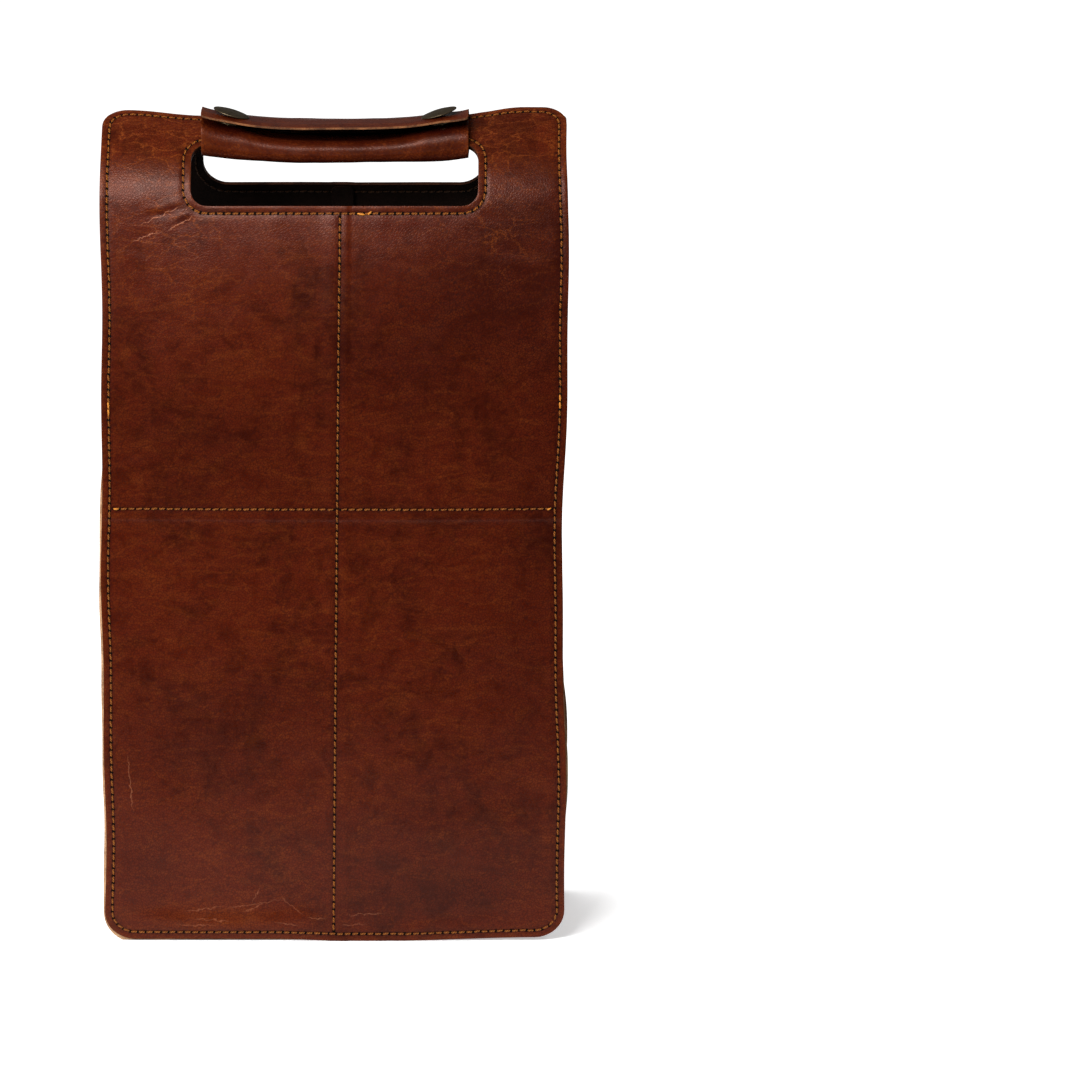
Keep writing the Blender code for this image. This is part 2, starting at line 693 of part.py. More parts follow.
def snap_pieces(side, hand):
    """A snap: cap and socket on the flap, stud and post on the lip."""
    top, axis, _, between = snap_frame(side)
    half = WRAP_THICK / 2
    space = between - 2 * half
    socket_height = space - STUD_FLANGE - 3 * SNAP_GAP
    cap_foot = half + LAYER_GAP
    shank_end = -half - SNAP_GAP - SOCKET_PLATE
    cap = [(0, shank_end), (SHANK_RADIUS, shank_end), (SHANK_RADIUS, cap_foot), (CAP_RADIUS, cap_foot)]
    cap += [(CAP_RADIUS, cap_foot + CAP_RIM)]
    for x, z in arc(0, 0, 1, 0, 1)[1:]:
        cap.append((CAP_RADIUS * x if x > MERGE else 0, cap_foot + CAP_RIM + (CAP_RISE - CAP_RIM) * z))
    turned(f"snap_cap_{hand}", cap, top, axis, BRASS_LOOK)

    ceiling = -half - SNAP_GAP
    floor = ceiling - socket_height
    neck = SHANK_RADIUS + SNAP_GAP
    under = ceiling - SOCKET_PLATE
    socket = [(neck, ceiling), (neck, under), (SOCKET_BORE, under), (SOCKET_BORE, floor)]
    socket += [(SOCKET_RADIUS, floor), (SOCKET_RADIUS, ceiling)]
    turned(f"snap_socket_{hand}", socket, top, axis, BRASS_LOOK)

    lip = top - axis * between
    seat = half + SNAP_GAP
    crown = between - half - SNAP_GAP - SOCKET_PLATE - SNAP_GAP
    shoulder = seat + STUD_FLANGE
    bore = NUB_RADIUS - NUB_WALL
    stud = [(bore, seat), (STUD_RADIUS, seat), (STUD_RADIUS, shoulder), (NUB_RADIUS, shoulder)]
    stud += [(NUB_RADIUS, (shoulder + crown) / 2), (bore, crown), (0, crown)]
    hollow = [(0, crown - NUB_WALL), (bore, crown - NUB_WALL)]
    turned(f"snap_stud_{hand}", hollow + stud, lip, axis, BRASS_LOOK)

    foot = -half - SNAP_GAP
    tip = crown - NUB_WALL - SNAP_GAP
    post = [(0, foot - POST_FLANGE), (POST_RADIUS, foot - POST_FLANGE), (POST_RADIUS, foot)]
    post += [(POST_SHANK, foot), (POST_SHANK, tip), (0, tip)]
    turned(f"snap_post_{hand}", post, lip, axis, BRASS_LOOK)


def handle():
    """The wrap: its front piece, and its back piece in a fixed part and a flap that opens."""
    columns = [x for x in bar_columns() if abs(x) < HALF_WRAP - MERGE]
    hole = SHANK_RADIUS + 2 * SNAP_GAP
    lip_run, flap_run = WRAP_MARKS[LIP_SNAP_ROW], WRAP_MARKS[FLAP_SNAP_ROW]
    lip_holes = [round_hole(snap_frame(side)[2], lip_run, hole) for side in (-1, 1)]
    flap_holes = [round_hole(side * SNAP_SPACING / 2, flap_run, hole) for side in (-1, 1)]
    last_row = len(WRAP_MARKS) - 1
    for name, first, last, gap_before, gap_after, holes in (
        ("handle_front", 0, SPLIT_ROW, 0.0, FOOT_SPLIT, lip_holes),
        ("handle_back", SPLIT_ROW, HINGE_ROW, FOOT_SPLIT, LAYER_GAP, []),
        ("handle_flap", HINGE_ROW, last_row, LAYER_GAP, 0.0, flap_holes),
    ):
        start, end = WRAP_MARKS[first] + gap_before / 2, WRAP_MARKS[last] - gap_after / 2
        outline = rounded(-HALF_WRAP, start, HALF_WRAP, end, 0, 0)
        flat = flat_pattern([outline] + holes, WRAP_MARKS[first + 1 : last], columns, -1)
        bent_sheet(name, flat, -WRAP_THICK / 2, WRAP_THICK / 2, on_wrap, LEATHER_LOOK)


def hang(name, point, *pieces):
    """Hangs moving pieces on an empty that lies on their hinge."""
    hinge = bpy.data.objects.new(name, None)
    hinge.location = point
    bpy.context.scene.collection.objects.link(hinge)
    for piece in bpy.data.objects:
        if piece.name.startswith(pieces):
            piece.parent = hinge
            piece.matrix_parent_inverse = Matrix.Translation(-Vector(point))


def build():
    for thing in list(bpy.data.objects):
        bpy.data.objects.remove(thing, do_unlink=True)
    for side, word in ((FRONT, "front"), (BACK, "back")):
        panel_pieces(side, word)
    gusset()
    divider()
    handle()
    for side, hand in ((-1, "left"), (1, "right")):
        snap_pieces(side, hand)
    for side, word in ((FRONT, "front"), (BACK, "back")):
        pieces = [f"{word}_{piece}" for piece in UPPER_PIECES] + [f"handle_{word}"]
        hang(f"{word}_hinge", (0.0, side * BODY_DEPTH / 2, GUSSET_TOP), *pieces)
    hang("stud_hinge", (0.0, -BODY_DEPTH / 2, GUSSET_TOP), "snap_stud", "snap_post")
    axis = on_wrap(0.0, WRAP_MARKS[HINGE_ROW], -WRAP_THICK / 2)
    hang("flap_hinge", axis, "handle_flap", "snap_cap", "snap_socket")


build()
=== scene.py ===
# %% [markdown]
# # A leather carrier for two wine bottles
#
# The real carrier is cut from flat hides, sewn with one waxed thread, and bent to shape. This lesson
# makes it in the same order: first the line that the leather follows, then the finishes, then each
# sheet cut flat and bent, then the stitches that hold it, the wrap with its snaps, and last the light.
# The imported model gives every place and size, so the first step is to load it.

import math

import bmesh
import bpy
import numpy as np
from mathutils import Matrix, Vector, noise


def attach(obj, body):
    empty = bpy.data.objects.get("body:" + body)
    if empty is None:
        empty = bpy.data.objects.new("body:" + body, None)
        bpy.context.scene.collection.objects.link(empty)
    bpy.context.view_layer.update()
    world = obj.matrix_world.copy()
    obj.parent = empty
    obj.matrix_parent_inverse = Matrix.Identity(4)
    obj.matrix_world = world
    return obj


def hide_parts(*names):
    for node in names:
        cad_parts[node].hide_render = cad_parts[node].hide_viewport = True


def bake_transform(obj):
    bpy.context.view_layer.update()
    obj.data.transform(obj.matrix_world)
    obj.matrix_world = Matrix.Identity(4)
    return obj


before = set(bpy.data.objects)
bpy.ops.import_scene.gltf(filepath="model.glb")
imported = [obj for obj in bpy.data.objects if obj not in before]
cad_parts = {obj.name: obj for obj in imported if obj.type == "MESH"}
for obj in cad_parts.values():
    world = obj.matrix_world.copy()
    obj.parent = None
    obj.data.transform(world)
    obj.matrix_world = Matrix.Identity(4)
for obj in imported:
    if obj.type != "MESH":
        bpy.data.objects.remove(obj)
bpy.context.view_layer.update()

# %% [markdown]
# ## The line the leather follows
#
# A panel stands straight, leans in above the head of the side strip, and rolls over at the bar. Seen
# from the side that is one straight line and two arcs, so every height on the flat hide has one place
# on the bent one. The handle pulls the bars down between the wrap's ends. Writing the bend as a
# function of the flat hide keeps leather, lining and stitches in step.

# %% The bend of a panel
PANEL_WIDTH, BODY_DEPTH, PANEL_THICK = 0.187, 0.080, 0.0015
GUSSET_TOP, LEAN_LENGTH, ROLL_LENGTH = 0.221, 0.082, 0.046
LEAN_ANGLE, ROLL_TURN = 0.212975, math.radians(53.2)
LEAN_RADIUS, ROLL_RADIUS = LEAN_LENGTH / LEAN_ANGLE, ROLL_LENGTH / ROLL_TURN
HOLE_FOOT = GUSSET_TOP + LEAN_LENGTH
PANEL_HEIGHT = HOLE_FOOT + ROLL_LENGTH
HALF_WIDTH, HALF_WRAP = PANEL_WIDTH / 2, 0.107 / 2
FRONT, BACK = -1, 1
SIDES = ((FRONT, "front"), (BACK, "back"))
SAG_POWER, SAG_AT_ENDS, SAG_HALFWAY, SAG_LOOSE = 1.5, 0.0023, 0.0054, 0.0040
BACK_SHOULDER, RIGHT_SHOULDER = 0.0020, -0.0012


def smooth(share):
    """A soft step: 0 up to a share of 0, 1 from a share of 1."""
    share = np.clip(share, 0.0, 1.0)
    return share * share * (3 - 2 * share)


def bell(gap, width):
    """1 where the gap is none, falling off softly on both sides over the width."""
    return np.exp(-((gap / width) ** 2))


def hammock(x):
    """How far the handle hangs at x: 0 at the wrap's ends, 1 half way along it."""
    return 1 - np.minimum(np.abs(x) / HALF_WRAP, 1.0) ** 3


def slack(x):
    """How loose the leather lies between the snaps: 0 at the snaps, 1 half way between them."""
    return np.clip((hammock(x) - 0.58) / 0.42, 0, 1)


def bar_sag(x, height, side):
    """How far the top edge hangs. It hangs lower at the back, and the right shoulder stands up a little."""
    rise = (np.clip(height - HOLE_FOOT, 0, None) / ROLL_LENGTH) ** SAG_POWER
    fade = np.where(x > 0, 0.022, 0.030)
    ends = smooth((HALF_WRAP + fade - np.abs(x)) / fade)
    shoulder = BACK_SHOULDER if side == BACK else RIGHT_SHOULDER * smooth((x - 0.030) / 0.040)
    loose = 0.0 if side == BACK else SAG_LOOSE * rise * slack(x)
    beside_wrap = smooth((np.abs(x) - 0.046) / 0.014)
    return rise * (SAG_AT_ENDS * ends + SAG_HALFWAY * hammock(x) + loose + shoulder * beside_wrap)


def panel_line(height):
    """How far from the middle a panel's outer face lies, how high, and how far it leans."""
    lean = np.clip(height - GUSSET_TOP, 0, LEAN_LENGTH) / LEAN_RADIUS
    roll = np.clip(height - HOLE_FOOT, 0, ROLL_LENGTH) / ROLL_RADIUS
    out = BODY_DEPTH / 2 - LEAN_RADIUS * (1 - np.cos(lean))
    out = out - ROLL_RADIUS * (math.cos(LEAN_ANGLE) - np.cos(LEAN_ANGLE + roll))
    up = np.minimum(height, GUSSET_TOP) + LEAN_RADIUS * np.sin(lean)
    up = up + ROLL_RADIUS * (np.sin(LEAN_ANGLE + roll) - math.sin(LEAN_ANGLE))
    return out, up, lean + roll


print("top edge of a panel, from the middle and up:", panel_line(np.array(PANEL_HEIGHT))[:2])

# %% [markdown]
# ## Where the seams run
#
# The edge seam keeps 3 mm inside the edge, the hand hole has its own round seam, one seam down the
# middle holds the divider, and one across holds the lower edge of the lining. Each is a path on the
# flat hide. The same paths later place the stitches and press the leather down beside them.

# %% Seam paths on the flat hide
HOLE = (-0.0575, HOLE_FOOT, 0.0575, HOLE_FOOT + 0.028)
SEAM_INSET, TOP_CORNER, FOOT_CORNER = 0.0030, 0.0105, 0.0120
HOLE_FOOT_CORNER, HOLE_HEAD_CORNER = {FRONT: 0.0065, BACK: 0.0100}, 0.0080
BACK_HOLE_IN, BACK_HOLE_DOWN, BACK_HOLE_OUT = 0.0025, 0.0010, 0.0020
CROSS_SEAM, CROSS_END, CROSS_GAP, DIVIDER_SEAM_ENDS = 0.1805, 0.0893, 0.0012, (0.0042, 0.2987)
MIDDLE_AT_FOOT, MIDDLE_DRIFT = -0.0004, 0.0027


def rounded(low_x, low_y, high_x, high_y, foot_radius, head_radius, steps=10):
    """A rectangle with round corners, anticlockwise from its lower left."""
    points = []
    corners = (
        (low_x, low_y, 1, 1, 2), (high_x, low_y, -1, 1, 3),
        (high_x, high_y, -1, -1, 0), (low_x, high_y, 1, -1, 1),
    )
    for x, y, into_x, into_y, turn in corners:
        radius = foot_radius if into_y > 0 else head_radius
        for i in range(steps + 1 if radius > 0 else 1):
            angle = (turn + i / steps) * math.pi / 2
            points.append((x + radius * (into_x + math.cos(angle)), y + radius * (into_y + math.sin(angle))))
    return points


def hole_outline(side, grow=0.0):
    """The hand hole, or a line round it. The back one lies a little lower and to the right."""
    low_x, low_y, high_x, high_y = HOLE
    if side == BACK:
        low_x, low_y, high_x = low_x + BACK_HOLE_IN, low_y - BACK_HOLE_DOWN, high_x + BACK_HOLE_OUT
    radii = HOLE_FOOT_CORNER[side] + grow, HOLE_HEAD_CORNER + grow
    return rounded(low_x - grow, low_y - grow, high_x + grow, high_y + grow, *radii)


def middle_x(height):
    """Where the divider's seam lies across the panel: it was sewn a little askew."""
    return MIDDLE_AT_FOOT + MIDDLE_DRIFT * (height - SEAM_INSET) / (HOLE_FOOT - 2 * SEAM_INSET)


OUTLINE = rounded(-HALF_WIDTH, 0.0, HALF_WIDTH, PANEL_HEIGHT, FOOT_CORNER, TOP_CORNER)
inner_corners = FOOT_CORNER - SEAM_INSET, TOP_CORNER - SEAM_INSET
edge_path = rounded(
    SEAM_INSET - HALF_WIDTH, SEAM_INSET, HALF_WIDTH - SEAM_INSET, PANEL_HEIGHT - SEAM_INSET, *inner_corners
)
SEAMS = {
    "edge": (edge_path, True),
    "divider": ([(middle_x(height), height) for height in DIVIDER_SEAM_ENDS], False),
    "cross_left": ([(-CROSS_END, CROSS_SEAM), (middle_x(CROSS_SEAM) - CROSS_GAP, CROSS_SEAM)], False),
    "cross_right": ([(middle_x(CROSS_SEAM) + CROSS_GAP, CROSS_SEAM), (CROSS_END, CROSS_SEAM)], False),
}
SEAMS = {side: SEAMS | {"hole": (hole_outline(side, SEAM_INSET), True)} for side in (FRONT, BACK)}


def spans(points, closed):
    """The straight parts of a path, each as its two ends."""
    return list(zip(points, points[1:] + points[:1] if closed else points[1:]))


def distance_to(paths, x, y):
    """The distance from each point to the nearest of some paths."""
    best = np.full(np.shape(x), np.inf)
    for points, closed in paths:
        for (x0, y0), (x1, y1) in spans(points, closed):
            run = max((x1 - x0) ** 2 + (y1 - y0) ** 2, 1e-12)
            t = np.clip(((x - x0) * (x1 - x0) + (y - y0) * (y1 - y0)) / run, 0, 1)
            best = np.minimum(best, np.hypot(x - x0 - t * (x1 - x0), y - y0 - t * (y1 - y0)))
    return best


for name, (points, closed) in SEAMS[FRONT].items():
    print(name, "seam", round(sum(math.dist(a, b) for a, b in spans(points, closed)) * 1000), "mm")

# %% [markdown]
# ## The leather's relief
#
# Sewn leather is never flat. The thread pulls it down along each seam, the lining's lower edge and the
# divider's flange show through as faint ridges, the corners pucker, and the empty body has slow waves.
# These are a millimetre or less, so they are added to the bend as a height, in metres, from sums of
# soft steps, creases and seeded noise. A bump texture alone would leave the outline and the broad
# highlights dead flat.

# %% Relief over the hide
SEAM_GROOVE, PUCKER, BODY_SWELL, SLOW_WAVE, SMALL_WAVE = 0.00022, 0.00018, 0.0016, 0.00070, 0.00022
LINING_RIDGE, FLANGE_RIDGE, FOOT_BULGE = 0.00045, 0.00028, 0.0015
LINING_SHOWS, CREASE_BEND, CREASE_CRINKLE, EDGE_STRAY, EDGE_RIPPLE = 0.1745, 0.0011, 0.0005, 0.0004, 0.0003
FOOT_ASIDE, DRAWN_IN, RIGHT_FOOT_LIFT, LEFT_FOOT_LIFT = 0.0016, 0.0013, 0.0016, 0.0010
# Each crease runs from one place on the flat hide to another, so deep and so wide.
CREASES = (
    (-0.0590, 0.3050, -0.0785, 0.2950, 0.00022, 0.0015), (-0.0550, 0.3000, -0.0690, 0.2930, 0.00020, 0.0014),
    (-0.0690, 0.2948, -0.0860, 0.2890, 0.00016, 0.0016), (-0.0905, 0.2870, -0.0700, 0.2845, 0.00016, 0.0018),
    (0.0600, 0.2990, 0.0780, 0.2930, 0.00020, 0.0016), (0.0640, 0.2830, 0.0900, 0.2860, 0.00020, 0.0022),
    (-0.0720, 0.0100, -0.0050, 0.0080, 0.00050, 0.0030), (0.0150, 0.0090, 0.0800, 0.0120, 0.00040, 0.0030),
    (-0.0905, 0.1990, -0.0700, 0.2060, 0.00030, 0.0020), (0.0720, 0.2060, 0.0905, 0.2010, 0.00030, 0.0020),
)


def waves(x, y, size, seed):
    """Soft noise between about -1 and 1, with bumps of the given size."""
    return np.array([noise.noise(Vector((a / size, b / size, seed))) for a, b in zip(x, y)])


def beside(x, y, x0, y0, x1, y1):
    """The length of a straight line on the flat hide, and how far along and across it each place lies."""
    run = math.dist((x0, y0), (x1, y1))
    along = ((x - x0) * (x1 - x0) + (y - y0) * (y1 - y0)) / run
    return run, along, ((x - x0) * (y1 - y0) - (y - y0) * (x1 - x0)) / run


def along_crease(x, height, *line):
    """How far across a crease each point lies, and how strong the crease is there."""
    run, along, across = beside(x, height, *line)
    across = across + CREASE_BEND * np.sin(along / 0.0034) + CREASE_CRINKLE * np.sin(along / 0.0013)
    return across, smooth(along / (0.30 * run)) * smooth((run - along) / (0.45 * run))


def relief(x, height, side):
    """How far the outer face stands out from its plain bend."""
    seam = distance_to(SEAMS[side].values(), x, height)
    edge = distance_to([(OUTLINE, True)], x, height)
    rise = -SEAM_GROOVE * bell(seam, 0.0010)
    rise += PUCKER * waves(x, height, 0.0050, 3.1 * side) * np.exp(-seam / 0.004)
    belly = smooth((0.092 - np.abs(x)) / 0.060) * smooth(height / 0.05) * smooth((HOLE[3] - height) / 0.06)
    rise += BODY_SWELL * belly
    rise += SLOW_WAVE * waves(x, height, 0.070, 9.7 * side) * smooth(edge / 0.020)
    rise += SMALL_WAVE * waves(x, height, 0.021, 5.3 * side)
    rise += LINING_RIDGE * (smooth((height - LINING_SHOWS) / 0.0024) - 1) * smooth((0.215 - height) / 0.03)
    left_half = smooth((x + 0.088) / 0.02) * smooth((0.002 - x) / 0.02)
    rise += FOOT_BULGE * bell(height - 0.0075, 0.0045) * left_half
    rise += FLANGE_RIDGE * smooth((x + 0.0036) / 0.0015) * smooth((0.0066 - x) / 0.0015)
    for *line, deep, wide in CREASES:
        across, fade = along_crease(x, height, *line)
        rise -= deep * fade * (bell(across, wide) - 0.7 * bell(across - 1.7 * wide, wide))
    return rise


def side_shift(x, height):
    """How far the cut edge strays from a straight one: small, and not the same on both sides."""
    stray = EDGE_STRAY * np.sin(height / 0.031) + EDGE_RIPPLE * np.sin(height / 0.0117 + 2 * np.sign(x))
    return stray * smooth((np.abs(x) - 0.07) / 0.02)


def settle(x, height):
    """How the empty carrier stands: its foot to the left, its right side drawn in, one corner lifted."""
    across = -FOOT_ASIDE * np.clip(1 - height / 0.28, 0, 1)
    across = across - DRAWN_IN * bell(height - 0.165, 0.060) * smooth((x - 0.03) / 0.05)
    return across, RIGHT_FOOT_LIFT * smooth((x - 0.020) / 0.065) * smooth((0.030 - height) / 0.030)


def on_panel(side, x, height, depth, rise=None):
    """Bends points of the flat hide to the front or back of the carrier. Depth runs inward."""
    x, height = np.asarray(x, float), np.asarray(height, float)
    rise = relief(x, height, side) if rise is None else rise
    out, up, lean = panel_line(height)
    inward = depth - rise
    y, z = out - inward * np.cos(lean), up - inward * np.sin(lean) - bar_sag(x, height, side)
    across, lifted = settle(x, height)
    lifted = lifted + LEFT_FOOT_LIFT * smooth((0.020 - height) / 0.020) * smooth((0.004 - x) / 0.030)
    return np.stack([x + side_shift(x, height) + across, side * y, z + lifted], 1)


# %% [markdown]
# ## A small language for finishes
#
# A finish is a sum of patterns, and sums are easier to read as sums than as nodes and links. This
# class holds one output of a node and turns +, -, *, / and abs() into Math nodes, with a number on
# either side of the sign. Everything else goes through one method, which takes the node's type, its
# settings and what to plug in.


# %% Socket arithmetic
class Pattern:
    """A value that changes over the surface, held as the output of a node."""

    def __init__(self, look, socket):
        self.look, self.socket = look, socket

    def math(self, operation, first, second=0.0):
        return self.look.node("Math", {"operation": operation}, {0: first, 1: second})

    def __add__(self, other):
        return self.math("ADD", self, other)

    def __sub__(self, other):
        return self.math("SUBTRACT", self, other)

    def __rsub__(self, other):
        return self.math("SUBTRACT", other, self)

    def __mul__(self, other):
        return self.math("MULTIPLY", self, other)

    def __truediv__(self, other):
        return self.math("DIVIDE", self, other)

    def __rtruediv__(self, other):
        return self.math("DIVIDE", other, self)

    def __abs__(self):
        return self.math("ABSOLUTE", self)

    __radd__, __rmul__ = __add__, __mul__

    def between(self, low, high):
        """0 below low, 1 above high, with a soft step between them."""
        settings = {"interpolation_type": "SMOOTHSTEP"}
        return self.look.node("MapRange", settings, {"Value": self, "From Min": low, "From Max": high})


class Look:
    """One material, and the one way of adding nodes to it."""

    def __init__(self, name):
        self.material = bpy.data.materials.new(name)
        self.material.use_nodes = True
        self.tree = self.material.node_tree
        self.shader = self.tree.nodes["Principled BSDF"]

    def attribute(self, name, out="Fac"):
        """A value that each sheet carries at its vertices."""
        return self.node("Attribute", {"attribute_name": name}, out=out)

    def flat(self):
        """The place on the flat hide, in millimetres."""
        return self.attribute("flat", "Vector")

    def voronoi_edges(self, at, scale):
        """How far each place lies from the nearest border between the cells."""
        return self.node("TexVoronoi", {"feature": "DISTANCE_TO_EDGE"}, {"Vector": at, "Scale": scale})

    def node(self, kind, settings=None, inputs=None, out=0):
        """Adds a node, plugs its inputs and gives one of its outputs."""
        made = self.tree.nodes.new("ShaderNode" + kind)
        for key, value in (settings or {}).items():
            setattr(made, key, value)
        self.plug(made, inputs or {})
        return Pattern(self, made.outputs[out])

    def plug(self, made, inputs):
        """Links what is a pattern and sets what is a plain value."""
        for key, value in inputs.items():
            if isinstance(value, Pattern):
                self.tree.links.new(value.socket, made.inputs[key])
            else:
                made.inputs[key].default_value = value

    def noise(self, at, scale, detail=2.0, rough=0.5, warp=0.0, out=0):
        inputs = {"Vector": at, "Scale": scale, "Detail": detail, "Roughness": rough, "Distortion": warp}
        return self.node("TexNoise", {}, inputs, out)

    def mix(self, share, first, second):
        """One colour over another."""
        settings = {"data_type": "RGBA", "clamp_factor": True}
        return self.node("Mix", settings, {0: share, 6: first, 7: second}, out=2)

    def bump(self, height, strength, distance, before=None):
        inputs = {"Height": height, "Strength": strength, "Distance": distance}
        if before is not None:
            inputs["Normal"] = before
        return self.node("Bump", {}, inputs)

    def finish(self, **inputs):
        """Plugs the shader itself. An underscore stands for a space in its inputs' names."""
        self.plug(self.shader, {key.replace("_", " "): value for key, value in inputs.items()})
        return self.material


# %% [markdown]
# ## Waxed leather
#
# The hide is dyed red-brown through and through and then waxed. Close up it has a pebbled grain of
# about a millimetre, from a step away it is mottled, and where it has been bent or rubbed the wax
# breaks and the colour lifts towards orange. The patterns are measured in millimetres along the flat
# hide, from an attribute that each sheet carries, so they bend with the leather. A net of fine creases
# can come from a Voronoi pattern, but the few long cracks have their own places, so they are drawn.

# %% Cracks and creases of the wax
CRACK_JAG, CRACK_WIDTH = 3.6, 0.27
# Each crack runs from one place on the flat hide to another, in millimetres.
CRACKS = (
    (-60.0, 303.8, -79.0, 294.5), (-55.5, 299.5, -68.0, 292.5), (-68.0, 293.5, -82.0, 288.5),
    (-62.0, 12.0, -42.0, 15.0), (-45.0, 13.5, -18.0, 18.0), (-22.0, 19.0, -12.0, 10.0),
    (-58.0, 9.0, -40.0, 8.0), (4.0, 11.0, 22.0, 12.0), (-38.0, 11.0, -28.0, 16.5),
    (-66.0, 6.5, -46.0, 6.0), (-34.0, 15.5, -30.0, 24.0), (-26.0, 8.0, -12.0, 6.0),
    (-12.0, 10.0, -2.0, 9.0), (2.0, 6.5, 14.0, 7.5), (-84.0, 80.0, -82.0, 52.0),
)


def crack_pattern(look, flat):
    """Thin jagged lines that fade in and out along their run, drawn one by one."""
    x, y = (look.node("SeparateXYZ", {}, {0: flat}, out=axis) for axis in (0, 1))
    jag, cracks = (look.noise(flat, 0.34, detail=4, rough=0.62) - 0.5) * CRACK_JAG, 0.0
    for line in CRACKS:
        run, along, across = beside(x, y, *line)
        fades = along.between(0, run * 0.25) * (run - along).between(0, run * 0.4)
        cracks = cracks + (1 - abs(across + jag).between(0.02, CRACK_WIDTH)) * fades
    return cracks


def crease_web(look, flat, creased, blotches):
    """The net of fine lines where bent leather has broken its wax: a coarse one and a finer one."""
    bent = look.node("Mapping", {}, {"Vector": flat, "Scale": (0.060, 0.165, 0.10)})
    wander = look.noise(flat, 0.10, detail=4, rough=0.6, out="Color")
    warped = look.node("VectorMath", {"operation": "ADD"}, {0: bent, 1: wander})
    coarse, fine = (look.voronoi_edges(warped, scale) for scale in (1.0, 3.1))
    lines = (1 - coarse.between(0.0, 0.05)) * creased + (1 - fine.between(0.0, 0.10)) * (creased * 0.4 + 0.05)
    return lines * blotches.between(0.32, 0.54)


print(len(CRACKS), "cracks")

# %% [markdown]
# ## The hide's own colour and grain
#
# Three sizes of noise mix the dark dye with the red one, and the worn and creased places lift it
# towards orange. The pebbled grain is a Voronoi pattern: its cells stand up in the bump, and the thin
# grooves between them are darker and duller. The wax's gloss is warm, so the shader's own reflection
# is tinted.

# %% The outer leather
DARK_HIDE, RED_HIDE = (0.0180, 0.0017, 0.0007, 1), (0.0510, 0.0053, 0.0013, 1)
WARM_HIDE, WAX_TINT = (0.132, 0.028, 0.0045, 1), (1.0, 0.60, 0.50, 1)
CRACK_LIGHT = (0.330, 0.118, 0.058, 1)
GRAIN_STRENGTH, GRAIN_DEPTH, WAVE_STRENGTH, WAVE_DEPTH = 0.75, 0.000032, 0.30, 0.0010


def leather(name, red=RED_HIDE, gloss=0.0):
    """Waxed hide: mottled, pebbled, orange where it is bent, cracked or rubbed, and darker where shade is
    painted.
    """
    look = Look(name)
    flat = look.flat()
    worn, pressed, creased = (look.attribute(key) for key in ("worn", "pressed", "creased"))
    cracked, shade = look.attribute("cracked"), look.attribute("shade")
    clouds = look.noise(flat, 0.022, detail=6, rough=0.66, warp=0.8)
    blotches = look.noise(flat, 0.11, detail=5, rough=0.68, warp=0.5)
    specks = look.noise(flat, 1.5, detail=3, rough=0.7)
    streaks = look.node("Mapping", {}, {"Vector": flat, "Scale": (0.038, 0.110, 0.10)})
    streaks = look.noise(streaks, 1.0, detail=8, rough=0.78, warp=1.6)
    lines = crease_web(look, flat, creased, blotches)
    cracks = crack_pattern(look, flat) * cracked * (specks.between(0.30, 0.46) * 0.7 + 0.3)
    turned_grain = {"Vector": flat, "Rotation": (0, 0, 0.7), "Scale": (1.35, 0.90, 1)}
    pebbles = look.voronoi_edges(look.node("Mapping", {"vector_type": "TEXTURE"}, turned_grain), 1.0)
    grooves, pebbles = 1 - pebbles.between(0.0, 0.13), pebbles.between(0.0, 0.32)
    tone = clouds * 0.48 + blotches * 0.40 + specks * 0.12
    colour = look.mix(tone.between(0.36, 0.55), DARK_HIDE, red)
    # The worn attribute is wear, and at the panels' foot also a painted highlight.
    lifted = streaks.between(0.44, 0.80) * 0.42 + worn * (0.40 + specks * 0.6) + lines * 0.62 + pebbles * 0.04
    colour = look.mix(lifted, colour, WARM_HIDE)
    # The shade attribute is painted shade; on the panels it also holds darker tone of the hide.
    colour = look.mix(grooves * 0.62 + pressed * 0.55 + shade * 0.75, colour, DARK_HIDE)
    colour = look.mix(cracks * 0.65, colour, CRACK_LIGHT)
    height = pebbles * 0.9 + specks * 0.1 - lines * 0.6 + cracks * 1.5
    coarse = look.bump(look.noise(flat, 0.06, detail=1), WAVE_STRENGTH, WAVE_DEPTH)
    normal = look.bump(height, GRAIN_STRENGTH, GRAIN_DEPTH, before=coarse)
    rough = 0.16 - gloss + blotches * 0.20 + specks * 0.06 + grooves * 0.08
    return look.finish(
        Base_Color=colour, Roughness=rough, Normal=normal, Specular_IOR_Level=0.16, Specular_Tint=WAX_TINT
    )


HIDE = leather("waxed_leather")
WRAP_HIDE = leather("waxed_wrap_leather", red=(0.048, 0.0058, 0.0014, 1), gloss=0.01)
print("leather nodes", len(HIDE.node_tree.nodes))

# %% [markdown]
# ## Flesh side, cut edges, thread and old brass
#
# The inside of a hide is its flesh side, a short dull nap. A cut edge shows the hide's fibres, tan
# where it is left raw and browner where it was dyed. The thread is a twisted golden cord, so its look
# is a fine spiral. The snaps are brass that has gone brown in the hollows and is rubbed bright on top.

# %% The other finishes
SOILED = (0.036, 0.0095, 0.0022, 1)


def flesh(name, colour_low, colour_high):
    """The dull nap on the inside of a hide."""
    look = Look(name)
    flat = look.flat()
    nap = look.noise(flat, 2.6, detail=4, rough=0.7)
    patches = look.noise(flat, 0.09, detail=4, rough=0.6)
    colour = look.mix((nap * 0.5 + patches * 0.6).between(0.35, 0.75), colour_low, colour_high)
    normal = look.bump(nap, 0.6, 0.0004)
    return look.finish(Base_Color=colour, Roughness=0.78 + nap * 0.15, Normal=normal, Specular_IOR_Level=0.06)


